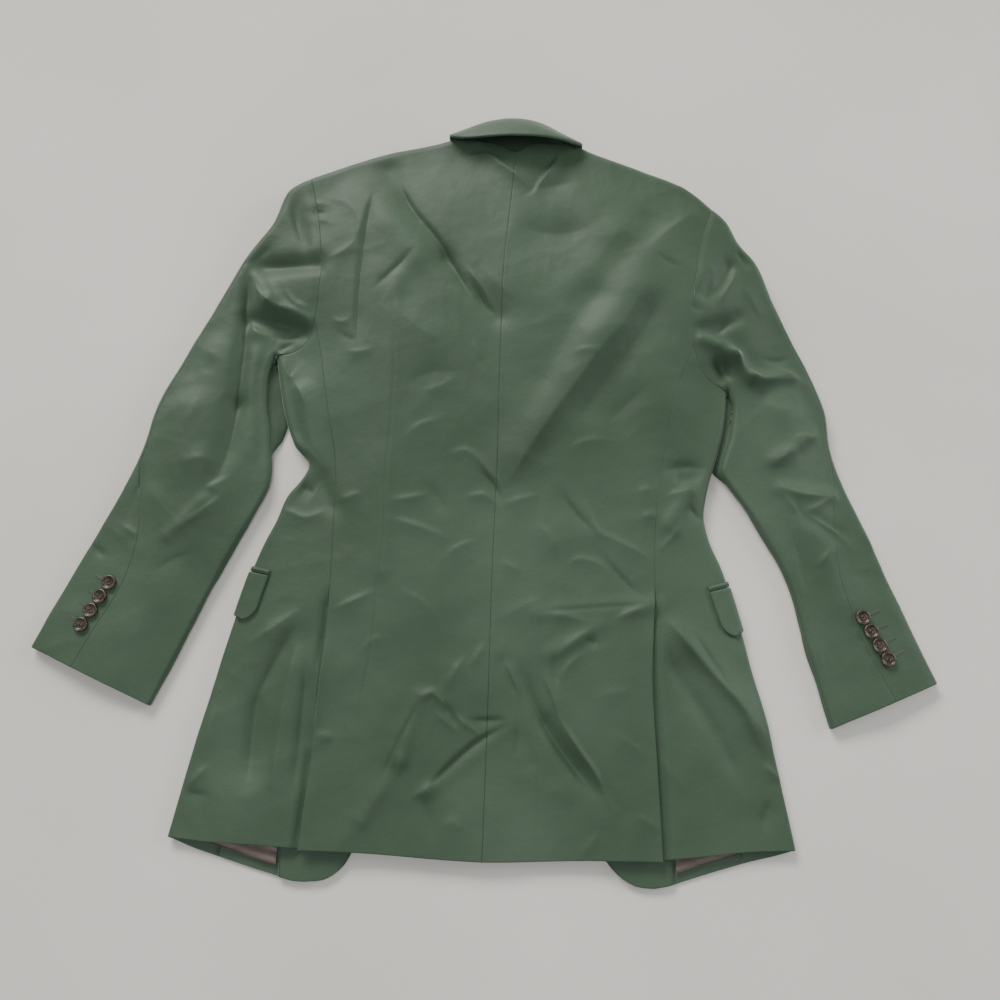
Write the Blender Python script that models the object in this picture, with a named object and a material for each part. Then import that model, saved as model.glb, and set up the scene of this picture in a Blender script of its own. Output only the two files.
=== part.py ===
"""Suit jacket laid out flat on its front, with its back up.

Metres, +Z up. The floor is z = 0, +Y runs from the hem to the collar, and the origin
is under the middle of the whole outline. The wearer's left is at -X.

Every cloth piece is a grid of points on one shared form: a low cushion that turns down
to the floor along the folded edges of the body and sleeves. A piece is a stretch of
that form between its seams, with its wall on the inner side. Tables are in
millimetres, and MM turns them into metres when a mesh is made.
"""

import math

import bpy
import numpy as np

MM = 0.001
MIDDLE = (0.0, 2.1, 0.0)  # middle of the outline on the floor, which becomes the origin

# Walls and gaps, in millimetres.
CLOTH = 1.8  # shell cloth with its interlining
LAPEL_CLOTH = 1.5
LINING_CLOTH = 1.0
COLLAR_CLOTH = 2.4
FLAP_CLOTH = 1.6
SEAM_GAP = 0.36
SLEEVE_INSET = 0.38
LYING_GAP = 0.6  # between layers that lie on each other

# Shape of a folded edge, and of the rise from it to the middle of a piece.
FOLD_SHARE = 0.42  # depth of the turn, as a share of the edge's height
CROWN_REACH = 45.0
CREASE_START = 9.0  # how far inside a folded edge the creases set in
SOFT_MINIMUM = 12.0
EDGE_BLEND = 2.5

# Height of the folded edges and the extra height inside them, by the distance up the
# jacket: y, edge, crown.
HEIGHTS = (
    (-384, 7.0, 2.0),
    (-200, 8.0, 4.0),
    (-60, 9.5, 7.0),
    (40, 12.0, 10.0),
    (120, 16.0, 13.0),
    (200, 21.0, 13.0),
    (300, 26.0, 7.0),
    (384, 26.0, 3.0),
)

# Lines of the body in plan: x, y from top to bottom.
NECKLINE = ((-34, 369), (-12, 359), (16, 348), (52, 347), (82, 352), (101, 361))
SHOULDER_LEFT = ((-34, 369), (-65, 363), (-111, 352), (-160, 333), (-184, 323))
SHOULDER_RIGHT = ((101, 361), (126, 350), (170, 332), (218, 308), (241, 286))
CENTRE_SEAM = ((52, 347), (29, 292), (22, 225), (17, 111), (14, 0), (10, -90), (6, -220), (1, -361))
ARMHOLE_LEFT = (
    (-184, 323), (-175, 284), (-169, 247), (-166, 213), (-168, 180),
    (-171, 155), (-178, 136), (-192, 124), (-211, 120),
)
ARMHOLE_RIGHT = (
    (241, 286), (231, 258), (221, 222), (214, 184), (212, 149),
    (214, 118), (222, 99), (232, 89), (246, 82),
)
EDGE_LEFT = (
    (-211, 120), (-206, 92), (-199, 60), (-188, 28), (-172, 4), (-177, -6),
    (-192, -26), (-200, -48), (-211, -72), (-234, -146), (-256, -236), (-280, -340),
)
EDGE_RIGHT = (
    (246, 82), (241, 47), (231, 12), (220, -21), (215, -48),
    (219, -71), (229, -97), (254, -203), (269, -280), (280, -352),
)
SEAM_LEFT = (
    (-171, 155), (-163, 115), (-154, 60), (-145, 7), (-144, -46),
    (-144, -108), (-148, -182), (-154, -264), (-162, -351),
)
SEAM_RIGHT = (
    (213, 130), (192, 77), (176, 2), (168, -46),
    (163, -132), (158, -197), (159, -268), (161, -361),
)
VENT_TOP = -112.0  # the side seams are open below this
VENT_LAP = 20.0  # how far a side panel runs on under the back
VENT_DIP = 3.2  # how much lower it lies there
VENT_SLOPE = 11.0
VENT_START = 24.0  # length over which a side panel sinks under the back
LAP_DELAY = 30.0  # further down, its own edge starts to run on

# The hem of the upper layer, then of the fronts below it, which come round to the front edge.
HEM_BACK = ((-162, -351), (-114, -353), (1, -361), (97, -360), (161, -361))
HEM_SIDE_LEFT = ((-280, -340), (-245, -344), (-202, -347), (-162, -351))
HEM_SIDE_RIGHT = ((161, -361), (200, -357), (239, -353), (280, -352))
HEM_FRONT_LEFT = (
    (-280, -340), (-258, -349), (-233, -357), (-211, -364), (-187, -371), (-166, -377), (-155, -378),
)
HEM_FRONT_RIGHT = (
    (280, -352), (260, -357), (241, -361), (214, -368), (182, -377), (165, -382), (153, -384),
)
FRONT_EDGE_LEFT = (
    (-34, 369), (-27, 300), (-13, 190), (3, 80), (14, 0), (19, -50), (10, -100),
    (-22, -170), (-62, -250), (-98, -320), (-115, -353), (-124, -367), (-138, -376), (-155, -378),
)
FRONT_EDGE_RIGHT = (
    (101, 361), (90, 300), (66, 190), (38, 80), (12, 0), (-2, -50), (4, -100),
    (30, -170), (66, -250), (98, -330), (112, -362), (123, -374), (137, -382), (153, -384),
)
CLOSURE = (-160.0, 110.0)  # y between which the right front lies on the left one
CLOSURE_REACH = 44.0

# Lapels, turned back under the fronts: y, distance of the outer edge from the roll line.
LAPEL_WIDTHS = ((322, 40), (304, 62), (286, 80), (262, 84), (256, 72), (180, 62), (110, 40), (50, 12))
LAPEL_MARGIN = 16.0
LAPEL_GAP = 1.0

# Sleeves, a row for each section from armhole to cuff:
# outer x, y, inner x, y, share of the width at which the hind seam lies.
SLEEVE_LEFT = (
    (-184, 323, -211, 120, 0.45),
    (-207, 309, -215, 107, 0.28),
    (-222, 270, -217, 95, 0.10),
    (-247, 233, -217, 82, 0.00),
    (-262, 203, -216, 66, 0.00),
    (-284, 158, -212, 44, 0.00),
    (-306, 114, -211, 24, 0.00),
    (-327, 68, -209, 3, 0.00),
    (-337, 24, -211, -18, 0.00),
    (-352, -16, -222, -42, 0.12),
    (-371, -58, -241, -78, 0.30),
    (-394, -106, -262, -124, 0.39),
    (-410, -141, -284, -174, 0.375),
    (-424, -172, -307, -226, 0.36),
)
SLEEVE_RIGHT = (
    (241, 286, 246, 82, 0.45),
    (256, 270, 250, 70, 0.28),
    (267, 246, 250, 58, 0.10),
    (284, 224, 248, 46, 0.00),
    (299, 180, 245, 32, 0.00),
    (315, 138, 241, 20, 0.00),
    (331, 99, 237, 9, 0.00),
    (343, 60, 235, -2, 0.00),
    (345, 22, 241, -14, 0.00),
    (355, -17, 257, -38, 0.12),
    (371, -60, 275, -70, 0.32),
    (388, -110, 293, -112, 0.50),
    (406, -160, 305, -170, 0.49),
    (424, -206, 322, -247, 0.42),
)
ARMHOLE_FADE = 0.34  # share of the sleeve over which its sections lose the armhole's curve
FOREARM_SEAM = 40.0  # from the inner edge, on the floor side
SLEEVE_ROWS = 16
SLEEVE_START = (0.0, 0.012, 0.035)  # the first sections, close together at the armhole
SEAM_ROWS = 16
EDGE_COLUMN = 8  # the top sleeve's column on the outer edge
JUNCTION_COLUMN = 7  # the under sleeve's column where the side seam starts
ARMPIT_COLUMN = 13  # the under sleeve's column on the inner edge
FRONT_SEAM_INSET = 52.0  # the seam between side panel and front, from the folded edge
NECK_COLUMNS = 4
SHOULDER_COLUMNS = 8

# Largest folds: x, y to x, y, half width, rise above the form.
FOLDS = (
    (-110, 345, -40, 221, 13, -3.0),
    (-40, 221, 14, 157, 11, -3.5),
    (-128, 300, -70, 222, 16, 2.5),
    (215, 273, 118, 142, 22, 3.0),
    (118, 142, 27, 5, 20, 2.5),
    (170, 262, 112, 180, 16, -2.5),
    (112, 180, 60, 92, 16, -2.5),
    (-89, 199, -96, -100, 9, 1.5),
    (-244, 217, -172, 215, 11, -7.0),
    (-201, 299, -183, 236, 8, -2.5),
    (-238, 211, -217, 175, 8, 4.0),
    (-217, 175, -178, 155, 7, 4.0),
    (-236, 158, -184, 146, 9, -6.0),
    (-242, 200, -246, 70, 9, -4.0),
    (-246, 70, -264, -22, 9, -3.0),
    (-228, 120, -228, 20, 12, 2.5),
    (-300, 60, -290, 10, 24, 3.5),
    (-262, -22, -302, -67, 7, 2.5),
    (254, 214, 226, 178, 10, -5.0),
    (222, 134, 254, 116, 7, 5.0),
    (254, 116, 270, 94, 7, 4.5),
    (270, 94, 309, 95, 7, 3.5),
    (222, 142, 258, 158, 8, -4.0),
    (241, 108, 249, 70, 7, -7.0),
    (285, 8, 328, 36, 7, 3.0),
    (300, 50, 290, 20, 20, 3.0),
    (292, -20, 342, -26, 8, 3.0),
    (307, -45, 342, -66, 8, -2.5),
    (312, -50, 338, -128, 14, 3.0),
    (-180, 80, -165, 6, 12, 4.0),
    (-165, 2, -148, -36, 10, -3.0),
    (202, -24, 180, -56, 9, 4.0),
    (228, -6, 196, -10, 8, -3.0),
    (52, -142, 163, -133, 9, 2.5),
    (63, -180, 111, -152, 8, 2.0),
    (22, -187, 44, -276, 8, -2.0),
    (60, -243, 124, -321, 9, -2.5),
    (-57, -217, -73, -274, 8, 2.0),
    (-73, -274, -107, -325, 8, 2.0),
    (-46, -300, 26, -243, 8, 2.0),
)

# Collar, a row for each section from the left neck point to the right:
# share of the neckline, fold line x, y, z, lower edge of the fall x, y, z.
COLLAR = (
    (0.00, -37, 369, 28, -33, 362, 34),
    (0.15, -20, 375, 29, -18, 357, 41),
    (0.32, 5, 384, 30, 8, 355, 47),
    (0.50, 33, 387, 31, 34, 354, 50),
    (0.67, 58, 382, 31, 58, 353, 50),
    (0.85, 86, 368, 29, 86, 353, 42),
    (1.00, 105, 358, 28, 100, 352, 34),
)
COLLAR_COLUMNS = 14
COLLAR_TURN = 4.5
COLLAR_SEAM_RISE = 0.6
COLLAR_END_HEIGHT = 25.0

# Inside of the front quarters, where it shows below the back: the facing's inner edge and
# the far end of the lining.
FACING_TOP = -296.0
LINING_TOP = -290.0
LINING_RISE = 9.0  # the lining's lower edge stays this far above the hem
QUARTERS = {
    "left": {"split": -180.0, "lining_end": -246.0},
    "right": {"split": 171.0, "lining_end": 246.0},
}
INSIDE_LIFT = CLOTH + LYING_GAP

# Pocket flaps: their lower line's distance down from the welt, and the welt's ends.
POCKETS = {
    "left": {"inner": (-204, -105), "outer_y": -101, "drop": 42},
    "right": {"inner": (216, -121), "outer_y": -116, "drop": 42},
}
FLAP_CORNER = 12.0
WELT_HEIGHT = 4.6
WELT_GAP = 0.8
POCKET_LIFT = 1.1

# Cuff buttons: the first and the last one's place on the sleeve.
BUTTON_ROWS = {"left": ((-354.5, -112), (-376.5, -152)), "right": ((357.5, -145.5), (377.5, -184.5))}
BUTTON_COUNT = 4
BUTTON_RADIUS = 7.0
BUTTON_PROFILE = (  # radius, height
    (0.0, 1.9), (4.6, 1.7), (5.4, 3.0), (6.4, 3.2), (7.0, 2.2), (6.6, 0.6), (4.0, 0.0), (0.0, 0.0),
)
BUTTON_SIDES = 16
BUTTON_LIFT = 0.6

COLOURS = {
    "cloth": (0.085, 0.125, 0.082, 1.0),
    "lining": (0.19, 0.14, 0.12, 1.0),
    "button": (0.045, 0.028, 0.018, 1.0),
}


# ---------------------------------------------------------------- lines


def lengths(line):
    """Distance run along a line, at each of its points."""
    steps = np.linalg.norm(np.diff(line, axis=0), axis=1)
    return np.concatenate([[0.0], np.cumsum(steps)])


def smooth(points, step=4.0):
    """A soft curve through a few points or table rows, as a fine line."""
    p = np.array(points, float)
    s = lengths(p)
    slope = np.gradient(p, s, axis=0)
    at = np.linspace(0, s[-1], max(3, int(s[-1] / step) + 1))
    i = np.clip(np.searchsorted(s, at, side="right") - 1, 0, len(s) - 2)
    h = (s[i + 1] - s[i])[:, None]
    t = (at - s[i])[:, None] / h
    start = (2 * t**3 - 3 * t**2 + 1) * p[i] + (t**3 - 2 * t**2 + t) * h * slope[i]
    end = (3 * t**2 - 2 * t**3) * p[i + 1] + (t**3 - t**2) * h * slope[i + 1]
    return start + end


def along(line, shares):
    """Points at shares of a line's length."""
    s = lengths(line)
    at = np.asarray(shares) * s[-1]
    return np.stack([np.interp(at, s, line[:, k]) for k in range(line.shape[1])], axis=-1)


def even(count):
    return np.linspace(0, 1, count + 1)


def after(line, x, y):
    """The rest of a line from its point nearest to a place, starting at that place."""
    place = np.array((x, y), float)
    first = int(np.argmin(np.linalg.norm(line - place, axis=1)))
    return np.vstack([place, line[first + 1 :]])


def patch(top, bottom, left, right):
    """A grid filled in between four rows of points that meet at the corners."""
    u = (lengths(top) / lengths(top)[-1] + lengths(bottom) / lengths(bottom)[-1])[None, :, None] / 2
    v = (lengths(left) / lengths(left)[-1] + lengths(right) / lengths(right)[-1])[:, None, None] / 2
    corners = (1 - u) * (1 - v) * top[0] + u * (1 - v) * top[-1]
    corners = corners + (1 - u) * v * bottom[0] + u * v * bottom[-1]
    return (1 - v) * top[None] + v * bottom[None] + (1 - u) * left[:, None] + u * right[:, None] - corners


def to_segment(points, a, b):
    """Distance from points to a straight stretch."""
    a, b = np.array(a, float), np.array(b, float)
    t = np.clip(((points - a) @ (b - a)) / max((b - a) @ (b - a), 1e-9), 0, 1)
    return np.linalg.norm(points - a - t[..., None] * (b - a), axis=-1)


def to_line(points, line, hand):
    """Distance from points to a line, and the line's own outward direction there."""
    p = points.reshape(-1, 1, 2)
    a, d = line[None, :-1], np.diff(line, axis=0)[None]
    t = np.clip(((p - a) * d).sum(-1) / np.maximum((d * d).sum(-1), 1e-9), 0, 1)
    gap = np.linalg.norm(p - a - t[..., None] * d, axis=-1)
    first = gap.argmin(axis=1)
    rows = np.arange(len(p))
    run = np.gradient(line, axis=0)
    out = hand * np.stack([-run[:, 1], run[:, 0]], axis=-1)
    out /= np.maximum(np.linalg.norm(out, axis=-1, keepdims=True), 1e-9)
    part = t[rows, first][:, None]
    out = out[first] * (1 - part) + out[first + 1] * part
    return gap[rows, first].reshape(points.shape[:-1]), out.reshape(points.shape)


def ease(t):
    t = np.clip(t, 0, 1)
    return t * t * (3 - 2 * t)


# ---------------------------------------------------------------- the shared form

SLEEVES = {"left": smooth(SLEEVE_LEFT), "right": smooth(SLEEVE_RIGHT)}
ARMHOLES = {"left": smooth(ARMHOLE_LEFT), "right": smooth(ARMHOLE_RIGHT)}
SIDE_EDGES = {"left": smooth(EDGE_LEFT), "right": smooth(EDGE_RIGHT)}
SIDE_SEAMS = {"left": smooth(SEAM_LEFT), "right": smooth(SEAM_RIGHT)}
SHOULDERS = {"left": smooth(SHOULDER_LEFT), "right": smooth(SHOULDER_RIGHT)}
FRONT_EDGES = {"left": smooth(FRONT_EDGE_LEFT), "right": smooth(FRONT_EDGE_RIGHT)}
FOLDED_EDGES = (  # each with the side on which its cloth turns, +1 for the left hand
    (SLEEVES["left"][:, 0:2], -1),
    (SLEEVES["left"][:, 2:4], 1),
    (SLEEVES["right"][:, 0:2], 1),
    (SLEEVES["right"][:, 2:4], -1),
    (SIDE_EDGES["left"], -1),
    (SIDE_EDGES["right"], 1),
    (SHOULDERS["left"], -1),
    (SHOULDERS["right"], 1),
)


def edge_height(y):
    table = np.array(HEIGHTS)
    return np.interp(y, table[:, 0], table[:, 1])


def fold_depth(y):
    return FOLD_SHARE * edge_height(y)


def edge_places(points):
    """Distance to the folded edges, and the way out of the nearest one."""
    found = [to_line(points, line, hand) for line, hand in FOLDED_EDGES]
    gaps = np.stack([gap for gap, _ in found])
    near = gaps.min(axis=0)
    weight = np.exp((near - gaps) / EDGE_BLEND)
    out = (np.stack([way for _, way in found]) * weight[..., None]).sum(axis=0)
    out /= np.maximum(np.linalg.norm(out, axis=-1, keepdims=True), 1e-9)
    return gaps, near, out


def edge_turn(near, y):
    return np.arccos(np.clip(1 - near / fold_depth(y), 0, 1))


def crown_rise(points, gaps, near):
    """Extra height inside the folded edges: the low crown and the largest folds."""
    table = np.array(HEIGHTS)
    depth = fold_depth(points[..., 1])
    soft = near - SOFT_MINIMUM * np.log(np.exp((near - gaps) / SOFT_MINIMUM).sum(axis=0))
    inside = np.maximum(soft - depth, 0)
    crown = np.interp(points[..., 1], table[:, 0], table[:, 2])
    z = crown * (1 - np.exp(-((inside / CROWN_REACH) ** 2)))
    set_in = 1 - np.exp(-((np.maximum(near - depth, 0) / CREASE_START) ** 2))
    for x0, y0, x1, y1, width, rise in FOLDS:
        away = to_segment(points, (x0, y0), (x1, y1))
        z = z + rise * set_in * np.exp(-((away / width) ** 2))
    return z


def form(points, upper):
    """Height of the outer surface over places in plan, and its outward direction."""
    points = np.asarray(points, float)
    gaps, near, out = edge_places(points)
    half = edge_height(points[..., 1]) / 2
    turn = edge_turn(near, points[..., 1])
    flat = 2 * FOLD_SHARE * np.sin(turn)[..., None]
    if not upper:
        way = np.concatenate([out * np.cos(turn)[..., None], -flat], axis=-1)
        z = half * (1 - np.sin(turn))
    else:
        rise = crown_rise(points, gaps, near)
        slopes = []
        for step in ((1.0, 0.0), (0.0, 1.0)):
            beside = points + step
            other_gaps, other_near, _ = edge_places(beside)
            slopes.append(crown_rise(beside, other_gaps, other_near) - rise)
        slope = np.stack(slopes, axis=-1)
        way = np.concatenate([out * np.cos(turn)[..., None] - flat * slope, flat], axis=-1)
        z = half * (1 + np.sin(turn)) + rise
    return z, way / np.linalg.norm(way, axis=-1, keepdims=True)


def lift(grid, upper):
    """Plan places with their heights on the form and the outward direction there."""
    z, way = form(grid, upper)
    return np.concatenate([grid, z[..., None], way], axis=-1)


def normals(grid):
    down = np.gradient(grid, axis=0, edge_order=2)
    across = np.gradient(grid, axis=1, edge_order=2)
    n = np.cross(down, across)
    return n / np.maximum(np.linalg.norm(n, axis=-1, keepdims=True), 1e-9)


def raised(grid, distance):
    """A grid's points moved out along their own directions."""
    return np.concatenate([grid[..., :3] + grid[..., 3:] * distance, grid[..., 3:]], axis=-1)


def inset(grid, distance=SEAM_GAP / 2):
    """A grid whose four borders are drawn in by a part of the seam gap."""
    result = grid.copy()
    borders = (
        (np.s_[0], np.s_[1]),
        (np.s_[-1], np.s_[-2]),
        (np.s_[:, 0], np.s_[:, 1]),
        (np.s_[:, -1], np.s_[:, -2]),
    )
    for border, inner in borders:
        inward = grid[inner][..., :3] - grid[border][..., :3]
        size = np.maximum(np.linalg.norm(inward, axis=-1, keepdims=True), 1e-9)
        result[border][..., :3] += inward / size * distance
    return result


# ---------------------------------------------------------------- objects


def material(kind):
    made = bpy.data.materials.get(kind)
    if made is None:
        made = bpy.data.materials.new(kind)
        made.use_nodes = True
        shader = made.node_tree.nodes["Principled BSDF"]
        shader.inputs["Base Color"].default_value = COLOURS[kind]
        shader.inputs["Roughness"].default_value = 0.35 if kind == "button" else 0.6
        shader.inputs["Metallic"].default_value = 0.0
    return made


def add_object(name, points, faces, kind):
    mesh = bpy.data.meshes.new(name)
    mesh.from_pydata([tuple(p) for p in (np.asarray(points) - MIDDLE) * MM], [], faces)
    mesh.materials.append(material(kind))
    mesh.shade_smooth()
    made = bpy.data.objects.new(name, mesh)
    bpy.context.collection.objects.link(made)
    return made


def grid_faces(index):
    quads = np.stack([index[:-1, :-1], index[1:, :-1], index[1:, 1:], index[:-1, 1:]], axis=-1)
    return [tuple(int(i) for i in quad) for quad in quads.reshape(-1, 4)]


def add_cloth(name, grid, wall=CLOTH, kind="cloth", centred=False):
    """A sheet of cloth on a grid of points, its wall on the inner side of the grid."""
    away = (grid[..., 3:] if grid.shape[-1] == 6 else normals(grid)) * wall
    outer = grid[..., :3] + (away / 2 if centred else 0)
    count = grid.shape[0] * grid.shape[1]
    index = np.arange(count).reshape(grid.shape[:2])
    faces = grid_faces(index) + grid_faces(count + index[:, ::-1])
    rim = np.concatenate([index[0, :-1], index[:-1, -1], index[-1, :0:-1], index[:0:-1, 0]])
    ring = np.append(rim, rim[0])
    faces += [(int(b), int(a), int(a) + count, int(b) + count) for a, b in zip(ring[1:], ring[:-1])]
    points = np.concatenate([outer.reshape(-1, 3), (outer - away).reshape(-1, 3)])
    return add_object(name, points, faces, kind)


# ---------------------------------------------------------------- sleeves


def sleeve_place(side, section, share):
    """Places in plan on sections of a sleeve, from its outer (0) to its inner edge (1)."""
    row = along(SLEEVES[side], section)[:, None]
    share = np.asarray(share)[..., None]
    straight = row[..., 0:2] * (1 - share) + row[..., 2:4] * share
    hole = ARMHOLES[side]
    flat = share * hole[-1] + (1 - share) * hole[0]
    bow = along(hole, share[..., 0].reshape(-1)).reshape(flat.shape) - flat
    fade = np.maximum(1 - np.asarray(section) / ARMHOLE_FADE, 0)[:, None, None]
    fade = fade ** (2 + 14 * share**3)
    return straight + bow * fade


def sleeve_ring(side, section, turn):
    """Points round the sleeve. The turn runs from the forearm seam on the floor side (0),
    over the outer fold (1 to 2), the upper side, the inner fold (3 to 4) and back (5)."""
    row = along(SLEEVES[side], section)
    width = np.linalg.norm(row[:, 2:4] - row[:, 0:2], axis=1)[:, None]
    outer = fold_depth(row[:, 1])[:, None] / width
    inner = fold_depth(row[:, 3])[:, None] / width
    seam = 1 - FOREARM_SEAM / width
    share = np.select(
        [turn <= 1, turn <= 2, turn <= 3, turn <= 4],
        [
            seam + (outer - seam) * turn,
            outer * (1 - np.cos((turn - 1.5) * math.pi)),
            outer + (1 - inner - outer) * (turn - 2),
            1 - inner * (1 - np.cos((turn - 3.5) * math.pi)),
        ],
        1 - inner + (seam - 1 + inner) * (turn - 4),
    )
    place = sleeve_place(side, section, share)
    upper = (turn >= 1.5) & (turn <= 3.5)
    return np.where(upper[..., None], lift(place, True), lift(place, False))


def hind_seam_turn(side, section):
    """Where round the sleeve the hind seam lies."""
    row = along(SLEEVES[side], section)
    width = np.linalg.norm(row[:, 2:4] - row[:, 0:2], axis=1)
    outer, inner = fold_depth(row[:, 1]) / width, fold_depth(row[:, 3]) / width
    on_top = 2 + (row[:, 4] - outer) / (1 - outer - inner)
    return np.maximum(on_top, 1.75)


def sleeve_grids(side):
    """Outer points of the top sleeve and of the under sleeve, armhole to cuff."""
    section = np.concatenate([SLEEVE_START[:-1], np.linspace(SLEEVE_START[-1], 1, SLEEVE_ROWS)])
    seam = hind_seam_turn(side, section)[:, None]
    floor = np.broadcast_to(np.concatenate([even(5), 1 + 0.5 * even(3)[1:]]), (len(section), 9))
    to_seam = 1.5 + (seam - 1.5) * even(4)[None, 1:]
    back = seam + (3 - seam) * even(10)[None]
    rest = np.concatenate([3 + even(6)[1:], 4 + even(2)[1:]])
    top = np.concatenate([floor, to_seam], axis=1)
    under = np.concatenate([back, np.broadcast_to(rest, (len(section), len(rest)))], axis=1)
    return sleeve_ring(side, section, top), sleeve_ring(side, section, under)


def turned(grid, side):
    """Columns ordered so that the faces look outwards on either side of the body."""
    return grid if side == "left" else grid[:, ::-1]


def add_sleeve(side, grids):
    for name, grid in zip(("sleeve_top", "sleeve_under"), grids):
        add_cloth(f"{name}_{side}", turned(inset(grid, SLEEVE_INSET), side))


# ---------------------------------------------------------------- body


def vent_drop(points, side):
    """How much lower a side panel lies where it runs under the back's vent edge."""
    seam = SIDE_SEAMS[side]
    line = np.interp(points[..., 1], seam[::-1, 1], seam[::-1, 0])
    outward = (line - points[..., 0]) * (1 if side == "left" else -1)
    depth = ease((VENT_SLOPE - outward) / VENT_SLOPE)
    below = ease((VENT_TOP - points[..., 1]) / VENT_START)
    return VENT_DIP * depth * below


def seam_places(side, top):
    """Side seam from the armhole to the hem, at the rows that its two panels share."""
    rest = after(SIDE_SEAMS[side], *top)
    return along(rest, even(SEAM_ROWS))


def lap_places(side, seam):
    """The side panel's own edge, which runs on under the back below the vent's top."""
    inward = 1 if side == "left" else -1
    lap = VENT_LAP * ease((VENT_TOP - VENT_START - LAP_DELAY - seam[:, 1]) / VENT_START)
    return seam + np.stack([inward * lap, np.zeros(len(seam))], axis=-1)


def side_grid(side, grids):
    """Side panel: from the back seam over the folded edge to the seam with the front."""
    under = grids[1][0, :, :2]
    top_row, floor_row = under[JUNCTION_COLUMN : ARMPIT_COLUMN + 1], under[ARMPIT_COLUMN:]
    edge = along(SIDE_EDGES[side], even(SEAM_ROWS))
    seam = lap_places(side, seam_places(side, top_row[0]))
    front_seam = front_seam_places(side, floor_row[-1])
    hem = smooth(HEM_SIDE_LEFT if side == "left" else HEM_SIDE_RIGHT[::-1])
    depth = fold_depth(edge[-1, 1])
    hem_length = lengths(hem)[-1]
    columns = len(top_row) - 1
    turns = (depth * (1 - np.cos(even(3) * math.pi / 2))) / hem_length
    inner = turns[-1] + (1 - turns[-1]) * even(columns - 3)[1:]
    hem_row = along(hem, np.concatenate([turns, inner]))
    hem_row[-1] = seam[-1]
    upper = patch(top_row[::-1], hem_row, edge, seam)
    floor_hem = along(floor_hem_line(side), np.concatenate([turns, [0.5, 1.0]]))
    floor_hem[-1] = front_seam[-1]
    lower = patch(floor_row, floor_hem, edge, front_seam)
    upper_points = lift(upper, True)
    upper_points[..., 2] -= vent_drop(upper, side)
    lower_points = lift(lower, False)
    return np.concatenate([lower_points[:, ::-1], upper_points[:, 1:]], axis=1)


def floor_hem_line(side):
    line = smooth(HEM_FRONT_LEFT if side == "left" else HEM_FRONT_RIGHT)
    stretch = lengths(line)
    return line[stretch <= FRONT_SEAM_INSET]


def front_seam_places(side, top):
    """Seam between side panel and front, on the floor side."""
    inward = 1 if side == "left" else -1
    edge = along(SIDE_EDGES[side], even(SEAM_ROWS))
    line = edge + np.array([inward * FRONT_SEAM_INSET, 0.0])
    line[0] = top
    line[1] = (line[0] + line[2]) / 2
    line[-1] = floor_hem_line(side)[-1]
    return line


def back_grid(side, grids, centre_shares):
    """One back: neckline and shoulder above, armhole and side seam outside, centre seam."""
    hole = np.vstack([grids[0][0, EDGE_COLUMN:, :2], grids[1][0, 1 : JUNCTION_COLUMN + 1, :2]])
    seam = seam_places(side, hole[-1])
    outer = np.vstack([hole, seam[1:]])
    neck = smooth(NECKLINE)
    centre = smooth(CENTRE_SEAM)
    middle = int(np.argmin(np.linalg.norm(neck - centre[0], axis=1)))
    neck[middle] = centre[0]
    half_neck = neck[: middle + 1] if side == "left" else neck[middle:][::-1]
    neck_row = along(half_neck, even(NECK_COLUMNS))
    top = np.vstack([along(SHOULDERS[side], even(SHOULDER_COLUMNS))[::-1], neck_row[1:]])
    top[0] = outer[0]
    hem = smooth(HEM_BACK)
    hem_middle = int(np.argmin(np.linalg.norm(hem - centre[-1], axis=1)))
    half_hem = hem[: hem_middle + 1] if side == "left" else hem[hem_middle:][::-1]
    bottom = along(half_hem, even(NECK_COLUMNS + SHOULDER_COLUMNS))
    bottom[0], bottom[-1] = outer[-1], centre[-1]
    return lift(patch(top, bottom, outer, along(centre, centre_shares)), True)


def outer_shares(side, grids):
    hole = np.vstack([grids[0][0, EDGE_COLUMN:, :2], grids[1][0, 1 : JUNCTION_COLUMN + 1, :2]])
    outer = np.vstack([hole, seam_places(side, hole[-1])[1:]])
    return lengths(outer) / lengths(outer)[-1]


def front_rise(points, side):
    """How far a front lies above the floor: over its lapel, and over the other front."""
    edge = FRONT_EDGES[side]
    y = points[..., 1]
    roll = np.interp(y, edge[::-1, 1], edge[::-1, 0])
    outward = np.abs(points[..., 0] - roll)
    widths = np.array(LAPEL_WIDTHS[::-1], float)
    reach = np.interp(y, widths[:, 0], widths[:, 1], left=0, right=widths[-1, 1])
    beside = ease((reach + 2.4 * LAPEL_MARGIN - outward) / LAPEL_MARGIN)
    beside = beside * ease((y - 20) / 20)
    beside = beside * ease((to_line(points, SHOULDERS[side], 1)[0] - 3) / 14)
    rise = (LAPEL_CLOTH + LAPEL_GAP) * beside
    if side == "right":
        low, high = CLOSURE
        window = ease((y - low) / 30) * ease((high - y) / 30)
        rise = rise + (CLOTH + LYING_GAP) * window * ease((CLOSURE_REACH - outward) / 20)
    return rise


def front_grid(side, grids):
    """A front, flat on the floor: shoulder, armhole and side seam, hem, front edge."""
    hole = np.vstack([grids[0][0, EDGE_COLUMN::-1, :2]])
    seam = front_seam_places(side, hole[-1])
    outer = np.vstack([hole, seam[1:]])
    shoulder = along(SHOULDERS[side], even(SHOULDER_COLUMNS))[::-1]
    shoulder[0] = outer[0]
    hem = smooth(HEM_FRONT_LEFT if side == "left" else HEM_FRONT_RIGHT)
    hem = after(hem, *outer[-1])
    bottom = along(hem, even(SHOULDER_COLUMNS))
    shares = lengths(outer) / lengths(outer)[-1]
    shares = 0.5 * shares + 0.5 * even(len(outer) - 1)
    edge = along(FRONT_EDGES[side], shares)
    bottom[-1] = edge[-1]
    plan = patch(shoulder, bottom, outer, edge)
    grid = lift(plan, False)
    grid[..., 2] += front_rise(plan, side)
    return grid


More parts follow.
